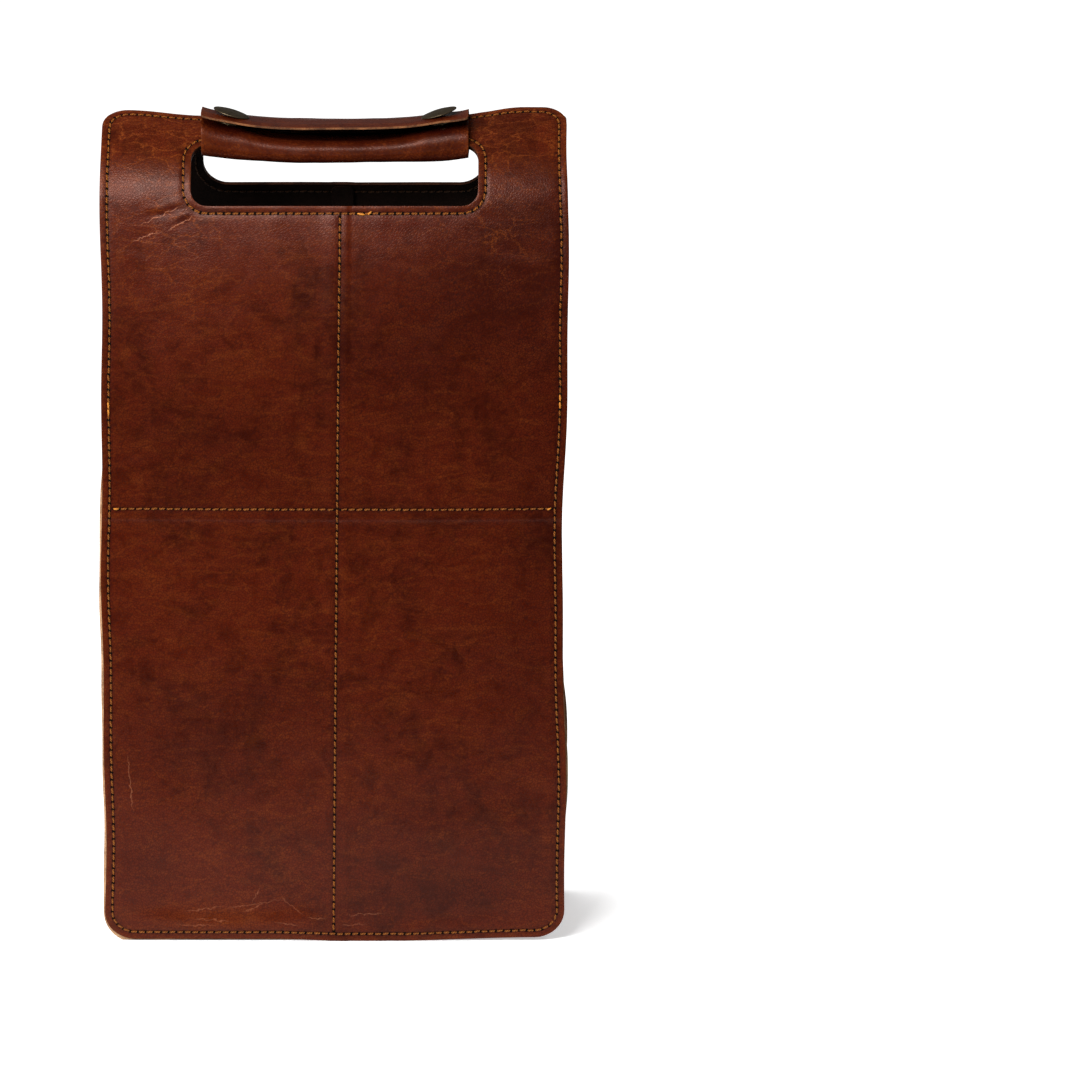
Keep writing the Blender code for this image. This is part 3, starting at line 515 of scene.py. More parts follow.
def cut_edge(name, low, high):
    """The fibres that a knife leaves."""
    look = Look(name)
    place = look.node("TexCoord", {}, out="Object")
    fibres = look.noise(place, 1600.0, detail=3, rough=0.6)
    stains = look.noise(place, 120.0, detail=3, rough=0.6)
    colour = look.mix((fibres * 0.4 + stains * 0.6).between(0.38, 0.62), low, high)
    normal = look.bump(fibres, 0.5, 0.0003)
    rough = 0.65 + fibres * 0.2
    return look.finish(Base_Color=colour, Roughness=rough, Normal=normal, Specular_IOR_Level=0.2)


def waxed_thread(name, low, high):
    """A twisted cord, soiled in places."""
    look = Look(name)
    twist = look.flat()
    settings = {"wave_type": "BANDS", "bands_direction": "DIAGONAL", "wave_profile": "SIN"}
    strands = look.node("TexWave", settings, {"Vector": twist, "Scale": 0.55, "Distortion": 0.4})
    soil = look.noise(twist, 0.11, detail=3, rough=0.6)
    colour = look.mix(strands.between(0.15, 0.85), low, high)
    colour = look.mix(soil.between(0.36, 0.60) * 0.85, colour, SOILED)
    normal = look.bump(strands, 0.8, 0.0003)
    rough = 0.55 + strands * 0.15
    return look.finish(Base_Color=colour, Roughness=rough, Normal=normal, Specular_IOR_Level=0.15)


def painted_hole_shade(name):
    """Painted shade: a near-black disc that stands for the shadowed inside of a stitch's hole."""
    look = Look(name)
    fibres = look.noise(look.node("TexCoord", {}, out="Object"), 2400.0, detail=2)
    colour = look.mix(fibres, (0.0015, 0.0008, 0.0006, 1), (0.0050, 0.0022, 0.0014, 1))
    return look.finish(Base_Color=colour, Roughness=0.88 + fibres * 0.1, Specular_IOR_Level=0.05)


def old_brass(name):
    """Brass that is brown in its hollows, with fine scratches."""
    look = Look(name)
    place = look.node("TexCoord", {}, out="Object")
    stains = look.noise(place, 260.0, detail=5, rough=0.65)
    pits = look.noise(place, 1500.0, detail=3, rough=0.6)
    drawn_out = look.node("Mapping", {}, {"Vector": place, "Scale": (500, 2600, 900)})
    scratches = look.noise(drawn_out, 1.0, detail=2)
    dull = (stains * 0.7 + pits * 0.3).between(0.36, 0.66)
    colour = look.mix(dull, (0.150, 0.108, 0.062, 1), (0.036, 0.027, 0.016, 1))
    normal = look.bump(pits * 0.6 + scratches * 0.4, 0.25, 0.0002)
    rough = 0.26 + dull * 0.24 + scratches * 0.10
    return look.finish(Base_Color=colour, Metallic=0.94 - dull * 0.12, Roughness=rough, Normal=normal)


# The flesh side is painted near black: its colour stands in for the shade inside the carrier and under the
# wrap.
FLESH_AND_SHADE = flesh("flesh_side_in_shade", (0.0022, 0.0010, 0.0006, 1), (0.0085, 0.0036, 0.0020, 1))
DYED_EDGE = cut_edge("dyed_edge", (0.012, 0.0036, 0.0018, 1), (0.055, 0.017, 0.0065, 1))
RAW_EDGE = cut_edge("raw_edge", (0.050, 0.0170, 0.0060, 1), (0.190, 0.072, 0.0250, 1))
TAN_EDGE = cut_edge("tan_edge", (0.160, 0.078, 0.036, 1), (0.400, 0.235, 0.125, 1))
THREAD = waxed_thread("waxed_thread", (0.095, 0.0240, 0.0026, 1), (0.285, 0.0900, 0.0085, 1))
HOLE_SHADE, BRASS = painted_hole_shade("painted_hole_shade"), old_brass("old_brass")
# Painted shade: the same waxed thread, painted near black where it shows on the lining inside the hand hole.
THREAD_IN_SHADE = waxed_thread("thread_on_the_lining_in_shade", (0.012, 0.0050, 0.0016, 1), (0.040, 0.0160, 0.0042, 1))

# %% [markdown]
# ## Cutting a sheet
#
# Each sheet is cut flat, as on the bench: its outline and holes are filled, then scored into a mesh
# that is fine beside seams and edges and coarser where nothing happens. Only then is it given its
# thickness and bent. The vertices keep their place on the flat hide in the attribute that the finish
# reads, with the wear and the pressing at the seams.

# %% From flat pattern to bent sheet
WELD, INSIDE_MARK = 2e-5, 7.0


def put_in_scene(name, mesh, looks=()):
    """Makes a mesh into a named piece with its finishes."""
    for look in looks:
        mesh.materials.append(look)
    piece = bpy.data.objects.new(name, mesh)
    bpy.context.scene.collection.objects.link(piece)
    return piece


def carry(mesh, key, values, kind="FLOAT", slot="value"):
    """Stores one value for each vertex, where a finish can read it."""
    mesh.attributes.new(key, kind, "POINT").data.foreach_set(slot, np.asarray(values, np.float32).ravel())


def scored(low, high, coarse, fine, places, reach):
    """Cuts from low to high, close together near the named places."""
    cuts, at = [], low
    while at < high - 0.6 * fine:
        near = any(a - reach <= at <= b + reach for a, b in places)
        at += fine if near else coarse
        cuts.append(at)
    return cuts[:-1]


def flat_pattern(loops, columns, rows):
    """The places, faces and rim of a flat sheet: its loops filled and cut along columns and rows."""
    bm = bmesh.new()
    for loop in loops:
        verts = [bm.verts.new((x, y, 0)) for x, y in loop]
        for i, vert in enumerate(verts):
            bm.edges.new((verts[i - 1], vert))
    bmesh.ops.triangle_fill(bm, use_beauty=True, use_dissolve=True, edges=bm.edges[:])
    for cuts, way in ((columns, Vector((1, 0, 0))), (rows, Vector((0, 1, 0)))):
        for cut in cuts:
            geometry = bm.verts[:] + bm.edges[:] + bm.faces[:]
            bmesh.ops.bisect_plane(bm, geom=geometry, dist=WELD, plane_co=way * cut, plane_no=way)
    inner = [(e, e.verts[0].co - e.verts[1].co) for e in bm.edges if not e.is_boundary]
    aslant = [e for e, span in inner if min(abs(span.x), abs(span.y)) > WELD]
    bmesh.ops.dissolve_edges(bm, edges=aslant, use_verts=True)
    bm.verts.index_update()
    places = np.array([v.co[:2] for v in bm.verts])
    faces = [[v.index for v in f.verts] for f in bm.faces]
    rim = []
    for edge in bm.edges:
        if len(edge.link_faces) == 1:
            loop = next(c for c in edge.link_faces[0].loops if c.edge == edge)
            rim.append((loop.vert.index, loop.link_loop_next.vert.index))
    bm.free()
    return places, faces, rim


def closed_sheet(name, pattern, outer, inner, looks, attributes, bevel=0.00035):
    """Joins two bent faces of one pattern along their rim. looks are for outside, inside and edge."""
    places, faces, rim = pattern
    grain = attributes.pop("grain", places)
    count = len(places)
    mesh = bpy.data.meshes.new(name)
    all_faces = list(faces) + [[i + count for i in reversed(f)] for f in faces]
    all_faces += [(b, a, a + count, b + count) for a, b in rim]
    mesh.from_pydata(np.concatenate([outer, inner]).tolist(), [], all_faces)
    piece = put_in_scene(name, mesh, looks)
    indices = np.repeat([0, 1, 2], [len(faces), len(faces), len(rim)])
    mesh.polygons.foreach_set("material_index", indices.astype(np.int32))
    flat = np.zeros((2 * count, 3), np.float32)
    flat[:, :2] = np.tile(grain * 1000, (2, 1))
    flat[count:, 2] = INSIDE_MARK
    carry(mesh, "flat", flat, "FLOAT_VECTOR", "vector")
    for key, values in attributes.items():
        carry(mesh, key, np.tile(values, 2))
    bm = bmesh.new()
    bm.from_mesh(mesh)
    bmesh.ops.recalc_face_normals(bm, faces=bm.faces[:])
    bm.to_mesh(mesh)
    bm.free()
    mesh.shade_smooth()
    soften = piece.modifiers.new("softened edge", "BEVEL")
    soften.width, soften.segments, soften.limit_method = bevel, 2, "ANGLE"
    soften.angle_limit = math.radians(50)
    print(name, len(mesh.polygons), "faces")
    return piece


# %% [markdown]
# ## The front and back panels
#
# One flat pattern serves both sides. It is scored finely beside the edges, the hand hole and the two
# straight seams.

# %% Panels
hole_places = [(HOLE[0] - 0.004, HOLE[0]), (HOLE[2], HOLE[2] + 0.004)]
across = [(-HALF_WIDTH, -HALF_WIDTH + 0.004), (HALF_WIDTH - 0.004, HALF_WIDTH), (0.0, 0.005)] + hole_places
upward = [(0.0, 0.004), (0.1745, 0.182), (HOLE[1] - 0.004, HOLE[1] + 0.003), (HOLE[3], PANEL_HEIGHT)]
columns = scored(-HALF_WIDTH, HALF_WIDTH, 0.0022, 0.0008, across, 0.0018)
rows = scored(0.0, PANEL_HEIGHT, 0.0022, 0.0008, upward, 0.0012)
# Each darker patch has its middle on the flat hide, its width and height, and how dark it is. The
# patches are partly the hide's own tone and partly painted shade, above all on the right shoulder.
DARK_TONE_AND_SHADE = (
    (0.060, 0.262, 0.040, 0.030, 0.55), (0.080, 0.300, 0.025, 0.022, 0.30),
    (0.020, 0.235, 0.030, 0.025, 0.30), (-0.055, 0.215, 0.030, 0.018, 0.25),
    (-0.050, 0.085, 0.040, 0.022, 0.30), (0.075, 0.120, 0.020, 0.060, 0.25),
    (0.030, 0.040, 0.050, 0.025, 0.25), (-0.025, 0.190, 0.050, 0.020, 0.20),
    (0.085, 0.200, 0.016, 0.050, 0.30), (0.048, 0.020, 0.030, 0.009, 0.45),
    (-0.078, 0.032, 0.014, 0.022, 0.30), (-0.020, 0.105, 0.030, 0.012, 0.22),
)


def unworn(places):
    """The wear of a sheet that nothing rubs or presses."""
    return {"worn": np.zeros(len(places)), "pressed": np.zeros(len(places))}


def panel_wear(side, x, height):
    """Where a panel is darker, partly its own tone and partly painted shade, creased, cracked, worn at its
    edges, lighter at its foot with wear and a painted highlight, and pressed by its seams.
    """
    seam_gap = distance_to(SEAMS[side].values(), x, height)
    edge_gap = distance_to([(OUTLINE, True), (hole_outline(side), True)], x, height)
    fold = smooth((height - HOLE_FOOT) / 0.02)
    # The shade attribute: darker patches, partly the hide's own tone and partly painted shade.
    shade = sum(1.25 * deep * bell(x - a, wide) * bell(height - b, tall) for a, b, wide, tall, deep in DARK_TONE_AND_SHADE)
    # Partly wear and partly a painted highlight: the left of the foot is lifted towards orange where its bulge
    # catches the light.
    foot_wear_and_sheen = 0.30 * bell(x + 0.048, 0.026) * bell(height - 0.010, 0.0055)
    corners = np.min([np.hypot(x - a, (height - 0.2965) * 0.8) for a in (-0.066, 0.066)], axis=0)
    return {
        "shade": shade,
        "creased": 0.25 + 0.75 * np.maximum(bell(corners, 0.022), 0.7 * fold),
        "cracked": 0.35 + 0.65 * smooth(height / 0.2) if side == FRONT else 0 * x,
        "worn": np.exp(-edge_gap / 0.0010) * 0.28 + 0.10 * fold + foot_wear_and_sheen,
        "pressed": bell(seam_gap, 0.0009),
    }


for side, word in SIDES:
    pattern = flat_pattern([OUTLINE, hole_outline(side)], columns, rows)
    px, ph = pattern[0].T
    rise = relief(px, ph, side)
    outer = on_panel(side, px, ph, 0.0, rise)
    inner = on_panel(side, px, ph, PANEL_THICK, rise)
    looks = HIDE, FLESH_AND_SHADE, DYED_EDGE
    panel = closed_sheet(f"{word}_panel", pattern, outer, inner, looks, panel_wear(side, px, ph))
    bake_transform(panel)
    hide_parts(f"{word}_panel_lower", f"{word}_panel_upper")

# %% [markdown]
# ## Lining
#
# The lining doubles the upper half of each panel and shows through the hand hole. It lies flesh side
# out, a paper's thickness behind the panel, so it takes the same bend and the same relief.

# %% Lining
LINING_DEPTH, LINING_THICK, LINING_FOOT = 0.0018, 0.0011, 0.176
NARROW, STEP_UP, LINING_LOOKS = 0.0862, 0.2212, (FLESH_AND_SHADE, FLESH_AND_SHADE, DYED_EDGE)
lining_outline = [(-HALF_WIDTH, STEP_UP), (-NARROW, STEP_UP), (-NARROW, LINING_FOOT), (NARROW, LINING_FOOT)]
lining_outline.append((NARROW, STEP_UP))
lining_outline += rounded(-HALF_WIDTH, STEP_UP, HALF_WIDTH, PANEL_HEIGHT, 0, TOP_CORNER)[1:]
lining_columns = scored(-HALF_WIDTH, HALF_WIDTH, 0.0045, 0.0015, hole_places, 0.001)
lining_rows = scored(LINING_FOOT, PANEL_HEIGHT, 0.0040, 0.0015, [(HOLE[3], PANEL_HEIGHT)], 0.001)
for side, word in SIDES:
    lining_pattern = flat_pattern([lining_outline, hole_outline(side)], lining_columns, lining_rows)
    lx, lh = lining_pattern[0].T
    faces = [on_panel(side, lx, lh, LINING_DEPTH + depth) for depth in (0.0, LINING_THICK)]
    lining = closed_sheet(f"{word}_lining", lining_pattern, *faces, LINING_LOOKS, unworn(lx), bevel=0.0002)
    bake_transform(lining)
    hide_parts(f"{word}_facing_lower", f"{word}_facing_upper")

# %% [markdown]
# ## Folded strips
#
# The side strip and the divider are both a long sheet folded to a channel: a wall with a flange along
# each side. One function gives a point of that section with its folds rounded, and another joins the
# sections along the piece. Folding a grid keeps the hide one unbroken sheet, as it is when it is made.


# %% A sheet folded to a channel
EDGE_SLOT = 2


def channel(shape, width, depth):
    """A point of the section: how far out from the wall's face, and how far across."""
    half, _, thick, turn = shape
    inner = turn + thick * (1 - depth)
    flat_wall, fold = half - turn - thick, turn * math.pi / 2
    s, sign = abs(width), math.copysign(1, width)
    if s <= flat_wall:
        return thick * (depth - 1), sign * s
    if s <= flat_wall + fold:
        angle = (s - flat_wall) / turn
        out, along = (1 - math.cos(angle)) * inner, math.sin(angle) * inner
        return out - thick * (1 - depth), sign * (flat_wall + along)
    return turn + s - flat_wall - fold, sign * (flat_wall + inner)


def section_widths(shape, across):
    """Places across the flat strip, closer together over the folds and flanges."""
    half, flange, thick, turn = shape
    flat_wall = half - turn - thick
    tip = flat_wall + turn * math.pi / 2 + flange - turn - thick
    out = flat_wall + (tip - flat_wall) * np.linspace(0, 1, 10)[1:]
    return np.concatenate([-out[::-1], np.linspace(-flat_wall, flat_wall, across), out])


def folded(name, shape, across, lengths, place, looks, wear):
    """Bends a grid to a channel. place puts each section's point along the piece."""
    widths = section_widths(shape, across)
    wide, long = len(widths), len(lengths)
    grid = [(w, v) for v in lengths for w in widths]
    firsts = [row * wide + column for row in range(long - 1) for column in range(wide - 1)]
    faces = [[first + k for k in (0, 1, 1 + wide, wide)] for first in firsts]
    last = wide * long - 1
    rim = [(i, i + 1) for i in range(wide - 1)] + [(i, i + wide) for i in range(wide - 1, last, wide)]
    rim += [(i, i - 1) for i in range(last, last - wide + 1, -1)]
    rim += [(i, i - wide) for i in range(last - wide + 1, 0, -wide)]
    outer, inner = (np.array([place(channel(shape, w, depth), v) for w, v in grid]) for depth in (0.0, 1.0))
    blank = np.zeros(len(grid))
    values = {"worn": np.array([wear(w, v) for w, v in grid]), "pressed": blank, "creased": blank + 0.4}
    piece = closed_sheet(name, (np.array(grid), faces, rim), outer, inner, looks, values, bevel=0.0002)
    for face in piece.data.polygons[: 2 * len(faces)]:
        if face.index % (wide - 1) in (0, 1, wide - 3, wide - 2):
            face.material_index = EDGE_SLOT
    return piece


# %% [markdown]
# ## The side strip
#
# It runs down one side, under both bottles and up the other side, with its flanges turned out and sewn
# inside the panels' edges. Its wall stands 7 mm in from the panels and bows in a little, because
# nothing but the fold holds it. Its flange was trimmed by hand, so it shows as a raw tan line beside
# the panel's edge, in places only.

# %% Side strip
GUSSET_THICK, FLANGE, FOLD_TURN = 0.0014, 0.0070, 0.0012
HALF_GUSSET = BODY_DEPTH / 2 - PANEL_THICK - 0.0003
WALL_HEAD, WALL_BOW, WALL_RIPPLE = 0.2208, 0.0018, 0.0006
straight, bend, foot_run = WALL_HEAD - FOOT_CORNER, FOOT_CORNER * math.pi / 2, PANEL_WIDTH - 2 * FOOT_CORNER
strip_run = 2 * straight + 2 * bend + foot_run
knees = np.cumsum([0, straight, bend, foot_run, bend, straight])
STANDS_PROUD, PROUD = ((0.016, 0.300), (strip_run - 0.176, strip_run - 0.122)), 0.00115


def along_strip(section, run):
    """Puts a section of the side strip down one side, round under the bottles and up the other."""
    inset, y = FLANGE - GUSSET_THICK - section[0], section[1]
    stray = 0.00014 * math.sin(run / 0.0131) + 0.00012 * math.sin(run / 0.0057 + (y > 0)) - 0.0003
    for start, end in STANDS_PROUD:
        stray += PROUD * float(smooth((run - start) / 0.02) * smooth((end - run) / 0.02))
    mirror = 1 if run > strip_run / 2 else -1
    run = min(run, strip_run - run)
    inset -= stray * float(smooth(1 - inset / 0.002))
    if run < straight:
        bow = WALL_BOW * math.sin(math.pi * run / straight) + WALL_RIPPLE * math.sin(run / 0.017)
        inset += bow * (1 - (y / HALF_GUSSET) ** 2)
        x, z = HALF_WIDTH - inset, WALL_HEAD - run
        x += mirror * float(side_shift(mirror * HALF_WIDTH, z))
    elif run < straight + bend:
        angle, radius = (run - straight) / FOOT_CORNER, FOOT_CORNER - inset
        x, z = HALF_WIDTH - FOOT_CORNER + radius * math.cos(angle), FOOT_CORNER - radius * math.sin(angle)
    else:
        x, z = HALF_WIDTH - FOOT_CORNER - (run - straight - bend), inset
    across, lifted = settle(mirror * x, z)
    return mirror * x + float(across), y, max(z + float(lifted), 0.0002)


# How many sections each straight part and each round corner takes.
counts = (52, 12, 40, 12, 52)
runs = np.concatenate([np.linspace(a, b, n)[:-1] for a, b, n in zip(knees, knees[1:], counts)] + [knees[-1:]])
strip_shape = (HALF_GUSSET, FLANGE, GUSSET_THICK, FOLD_TURN)
SIDE_HIDE = leather("waxed_side_leather", red=(0.080, 0.0120, 0.0032, 1))


def rubbed(width, run):
    """The strip is rubbed along its two folds, all the way round."""
    return 0.5 * math.exp(-abs(abs(width) - HALF_GUSSET) / 0.0015)


side_strip = folded("side_strip", strip_shape, 17, runs, along_strip, (FLESH_AND_SHADE, SIDE_HIDE, TAN_EDGE), rubbed)
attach(side_strip, "body")
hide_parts("gusset")
print("side strip", round(strip_run * 1000), "mm long")

# %% [markdown]
# ## The divider
#
# The wall between the bottles is folded in the same way, with both flanges turned to the same side.
# Above the lining's lower edge its flanges lie on the lining, so it steps in there. A narrow strip
# carries on from each flange up to the hand hole, where the same seam holds it.

# %% Divider and its strips
DIVIDER_THICK, DIVIDER_FLANGE, DIVIDER_TURN = 0.0012, 0.0089, 0.0009
DIVIDER_LEFT, DIVIDER_FOOT, DIVIDER_HEAD, DIVIDER_WAVE = -0.0028, 0.0073, 0.208, 0.0008
HALF_DIVIDER, STRIP_DEPTH, STRIP_HEAD = BODY_DEPTH / 2 - LINING_DEPTH, 0.0032, 0.3015


def along_divider(section, height):
    """Puts a section of the divider at its height. It steps in where its flanges lie on the lining."""
    x, y = DIVIDER_LEFT + DIVIDER_THICK + section[0], section[1]
    y -= (STRIP_DEPTH - LINING_DEPTH) * float(smooth((height - 0.1712) / 0.0045)) * y / HALF_DIVIDER
    hang = 1 - (y / HALF_DIVIDER) ** 2
    return x + DIVIDER_WAVE * math.sin(height / 0.033) * hang + float(settle(x, height)[0]), y, height


divider_shape = (HALF_DIVIDER, DIVIDER_FLANGE, DIVIDER_THICK, DIVIDER_TURN)
levels = np.linspace(DIVIDER_FOOT, DIVIDER_HEAD, 60)
divider = folded("divider_wall", divider_shape, 15, levels, along_divider, LINING_LOOKS, lambda *place: 0.0)
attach(divider, "body")
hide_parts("divider")
strip_outline = rounded(DIVIDER_LEFT, STEP_UP, DIVIDER_LEFT + DIVIDER_FLANGE, STRIP_HEAD, 0, 0.002)
strip_pattern = flat_pattern([strip_outline], [0.0, 0.003], list(np.arange(0.225, 0.301, 0.004)))
sx, sh = strip_pattern[0].T
for side, word in SIDES:
    faces = [on_panel(side, sx, sh, STRIP_DEPTH + depth) for depth in (0.0, DIVIDER_THICK)]
    strip = closed_sheet(f"{word}_strip", strip_pattern, *faces, (FLESH_AND_SHADE,) * 3, unworn(sx), bevel=0.0002)
    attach(strip, f"{word}_top")
    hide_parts(f"{word}_divider_strip")

# %% [markdown]
# ## The wrap
#
# The handle is one wide piece of leather wrapped round both top edges and closed with snaps. Its
# section is a line through a few known points: the lip's free end on the front bar, the level part
# under the snaps, the fold, the front, the foot, the back, and over the top to the flap's edge. A
# smooth curve through the points, and a sag that is deepest half way along, give the hammock shape.

# %% The wrap's line
WRAP_THICK, SNAP_Y, SNAP_X, STUD_X = 0.0015, -0.012263, 0.042, 0.042736
WRAP_FRONT, WRAP_BACK, BACK_FOOT_UP, FLAP_RISE = 0.020063, 0.020363, 0.317987, 0.020769
BAR_FOOT_UP, POST_RADIUS, SOCKET_RADIUS, STUD_RADIUS = 0.326687, 0.0042, 0.0050, 0.0045
BACK_LINE = ((0.86, 0, 0), (0.97, 0.03, 0), (1, 0.12, 0), (1, 0.32, 0))
FLAP_LINE = ((0.94, 0.52, 0), (0.75, 0.68, 0.32), (0.43, 0.82, 0.56), (0.10, 0.91, 0.65))
TURNS = (math.pi / 6, math.pi / 3, math.pi / 2)
CAP_DROOP_RIGHT, CAP_DROOP_LEFT, FLAP_SAG = 0.0016, 0.0007, 0.008
LIP_LEFT_RISE, LIP_RIGHT_RISE, LIP_CLEAR = 0.0016, -0.0014, 0.0019
FOOT_DROP, FOOT_SAG, RIGHT_FOOT_DROP, FOOT_TURN = 0.0053, 0.0030, 0.0011, 0.0030
LIP_TIP, FLAP_REACH, TIP_CLEAR, TIP_SINK = 0.002, 0.0026, 0.00165, 0.0040
LIP_SINKS, FOLD_SINK = (0.0038, 0.0043, 0.0039), 0.0018


def height_under(y):
    """The height on the flat hide that lies over this distance from the middle."""
    heights = np.linspace(HOLE_FOOT, PANEL_HEIGHT, 4000)
    return float(np.interp(y, -panel_line(heights)[0], heights))


LIP_HEIGHT = height_under(SNAP_Y + POST_RADIUS)


def lift(up, drop, x):
    """How high a point of the back or the flap lies: a share of the rise, less a share of the sag."""
    droop = (CAP_DROOP_RIGHT if x > 0 else CAP_DROOP_LEFT) * float(smooth((abs(x) - 0.041) / 0.0125)) * up**4
    return BACK_FOOT_UP + up * FLAP_RISE - drop * FLAP_SAG * float(hammock(x)) - droop


def plain_sag(x, height):
    """The bar's sag as the wrap sees it, without the panel's own corners."""
    return ((height - HOLE_FOOT) / ROLL_LENGTH) ** SAG_POWER * (0.0028 + SAG_HALFWAY * float(hammock(x)))


def lip_level(x):
    """How high the lip lies under the snaps: its left end lifts a little and its right end hangs."""
    rise = (LIP_LEFT_RISE if x < 0 else LIP_RIGHT_RISE) * (1 - float(hammock(x))) ** 4
    return float(panel_line(LIP_HEIGHT)[1]) - plain_sag(x, LIP_HEIGHT) + LIP_CLEAR + rise


def wrap_line(x):
    """The middle of the wrap's thickness at x, from the lip's free end round to the flap's edge."""
    level, foot_up = lip_level(x), BAR_FOOT_UP - FOOT_DROP - FOOT_SAG * float(hammock(x))
    foot_up -= RIGHT_FOOT_DROP * float(smooth((x - 0.022) / 0.028))
    tip, loose = PANEL_HEIGHT - LIP_TIP, float(slack(x))
    out, up, _ = panel_line(tip)
    line = [(-float(out), max(float(up) - plain_sag(x, tip) + TIP_CLEAR, level) - TIP_SINK * loose)]
    fold_low = max(LIP_SINKS[2] * loose**0.6, FOLD_SINK)
    lows = ((1, LIP_SINKS[0] * loose), (0, LIP_SINKS[1] * loose), (-1, fold_low))
    line += [(SNAP_Y + reach * STUD_RADIUS, level - low) for reach, low in lows]
    fold_run, level = WRAP_FRONT + SNAP_Y - STUD_RADIUS, level - fold_low
    drop, turn_up = min(0.60 * (level - foot_up), 0.0080), min(0.34 * (level - foot_up), 0.0034)
    line += [(-WRAP_FRONT + fold_run * (1 - math.sin(t)), level - drop * (1 - math.cos(t))) for t in TURNS]
    line.append((-WRAP_FRONT, foot_up + turn_up))
    for t in TURNS:
        line.append((-WRAP_FRONT + FOOT_TURN * (1 - math.cos(t)), foot_up + turn_up * (1 - math.sin(t))))
    line.append((0.0, (foot_up + BACK_FOOT_UP) / 2))
    line += [(out * WRAP_BACK, lift(up, drop, x)) for out, up, drop in BACK_LINE + FLAP_LINE]
    line += [(SNAP_Y + reach * SOCKET_RADIUS, lift(1.0, 0.80, x)) for reach in (1, 0, -1)]
    line.append((-WRAP_FRONT - FLAP_REACH, lift(0.95, 0.73, x)))
    return np.array(line)


# Rows of the wrap's line, counted from the lip's free end, and how many points the curve has for each.
LIP_SNAP_ROW, FOLD_ROW, BELLY_ROW, SHADOW_ROW, SPLIT_ROW = 2, 5, 6, 9, 11
BACK_ROW, FLAP_SNAP_ROW, LAST_ROW, STEPS = 14, 21, 23, 5


def smooth_line(x):
    """The same line as a smooth curve, with STEPS points for each one given."""
    line = wrap_line(x)
    line = np.concatenate([[2 * line[0] - line[1]], line, [2 * line[-1] - line[-2]]])
    points = []
    for i in range(1, len(line) - 2):
        before, start, end, after = line[i - 1 : i + 3]
        span = np.linalg.norm(end - start)
        lead = (end - before) / (np.linalg.norm(start - before) + span) * span
        trail = (after - start) / (np.linalg.norm(after - end) + span) * span
        for step in range(STEPS):
            t = step / STEPS
            points.append(
                start * (2 * t**3 - 3 * t**2 + 1) + lead * (t**3 - 2 * t**2 + t)
                + end * (3 * t**2 - 2 * t**3) + trail * (t**3 - t**2)
            )
    return np.array(points + [line[-2]])


def running_length(line):
    """How far along a line each of its points lies."""
    return np.concatenate([[0], np.cumsum(np.linalg.norm(np.diff(line, axis=0), axis=1))])


MARKS = running_length(smooth_line(0.0))
print("the wrap is", round(MARKS[-1] * 1000), "mm round by 107 mm long")


def true_run(x, run):
    """How far round the wrap each point lies, where the way round is longer than half way along."""
    true = np.zeros(len(x))
    for column in np.unique(x):
        true[x == column] = np.interp(run[x == column], MARKS, running_length(smooth_line(column)))
    return true


def row_mark(row):
    """How far round the wrap one of its rows lies."""
    return MARKS[row * STEPS]


def wrap_relief(x, run):
    """The wrap's own dents: slow waves and small wrinkles across it. It lies flat round each snap."""
    rise = 0.00035 * waves(x, run, 0.030, 21.0) + 0.00012 * waves(x, run, 0.008, 33.0)
    rise += 0.00010 * waves(x / 4, run, 0.004, 41.0)
    for snap in (-SNAP_X, SNAP_X):
        for row, flat_round in ((FLAP_SNAP_ROW, 0.0075), (LIP_SNAP_ROW, 0.0060)):
            rise *= smooth((np.hypot(x - snap, run - row_mark(row)) - flat_round) / 0.006)
    return rise


def on_wrap(x, run, depth):
    """Bends points of the wrap's flat pattern round the bars. Depth runs towards the bars."""
    x, run = np.asarray(x, float), np.asarray(run, float)
    placed = np.zeros((len(x), 3))
    for column in np.unique(x):
        chosen = x == column
        line = smooth_line(column)
        ahead = np.gradient(line, axis=0)
        ahead /= np.linalg.norm(ahead, axis=1, keepdims=True)
        aside = np.stack([-ahead[:, 1], ahead[:, 0]], 1)
        for axis in (0, 1):
            at = np.interp(run[chosen], MARKS, line[:, axis])
            placed[chosen, 1 + axis] = at + np.interp(run[chosen], MARKS, aside[:, axis]) * depth[chosen]
    placed[:, 0] = x
    return placed


# %% [markdown]
# ## Cutting and wrapping it
#
# The wrap is cut as two pieces, each sewn to its own bar, so that the carrier can open.

# %% Two pieces of the wrap
HALF_GAP, WRAP_CORNER, PUNCH_RADIUS, PUNCH_SIDES, SLIVER, PARED = 0.0005, 0.0012, 0.0018, 12, 2e-4, 0.0007


def punched(x, run):
    """A round hole for a snap's post, as a loop on the flat pattern."""
    turns = [i * math.tau / PUNCH_SIDES for i in range(PUNCH_SIDES)]
    return [(x + PUNCH_RADIUS * math.cos(turn), run + PUNCH_RADIUS * math.sin(turn)) for turn in turns]


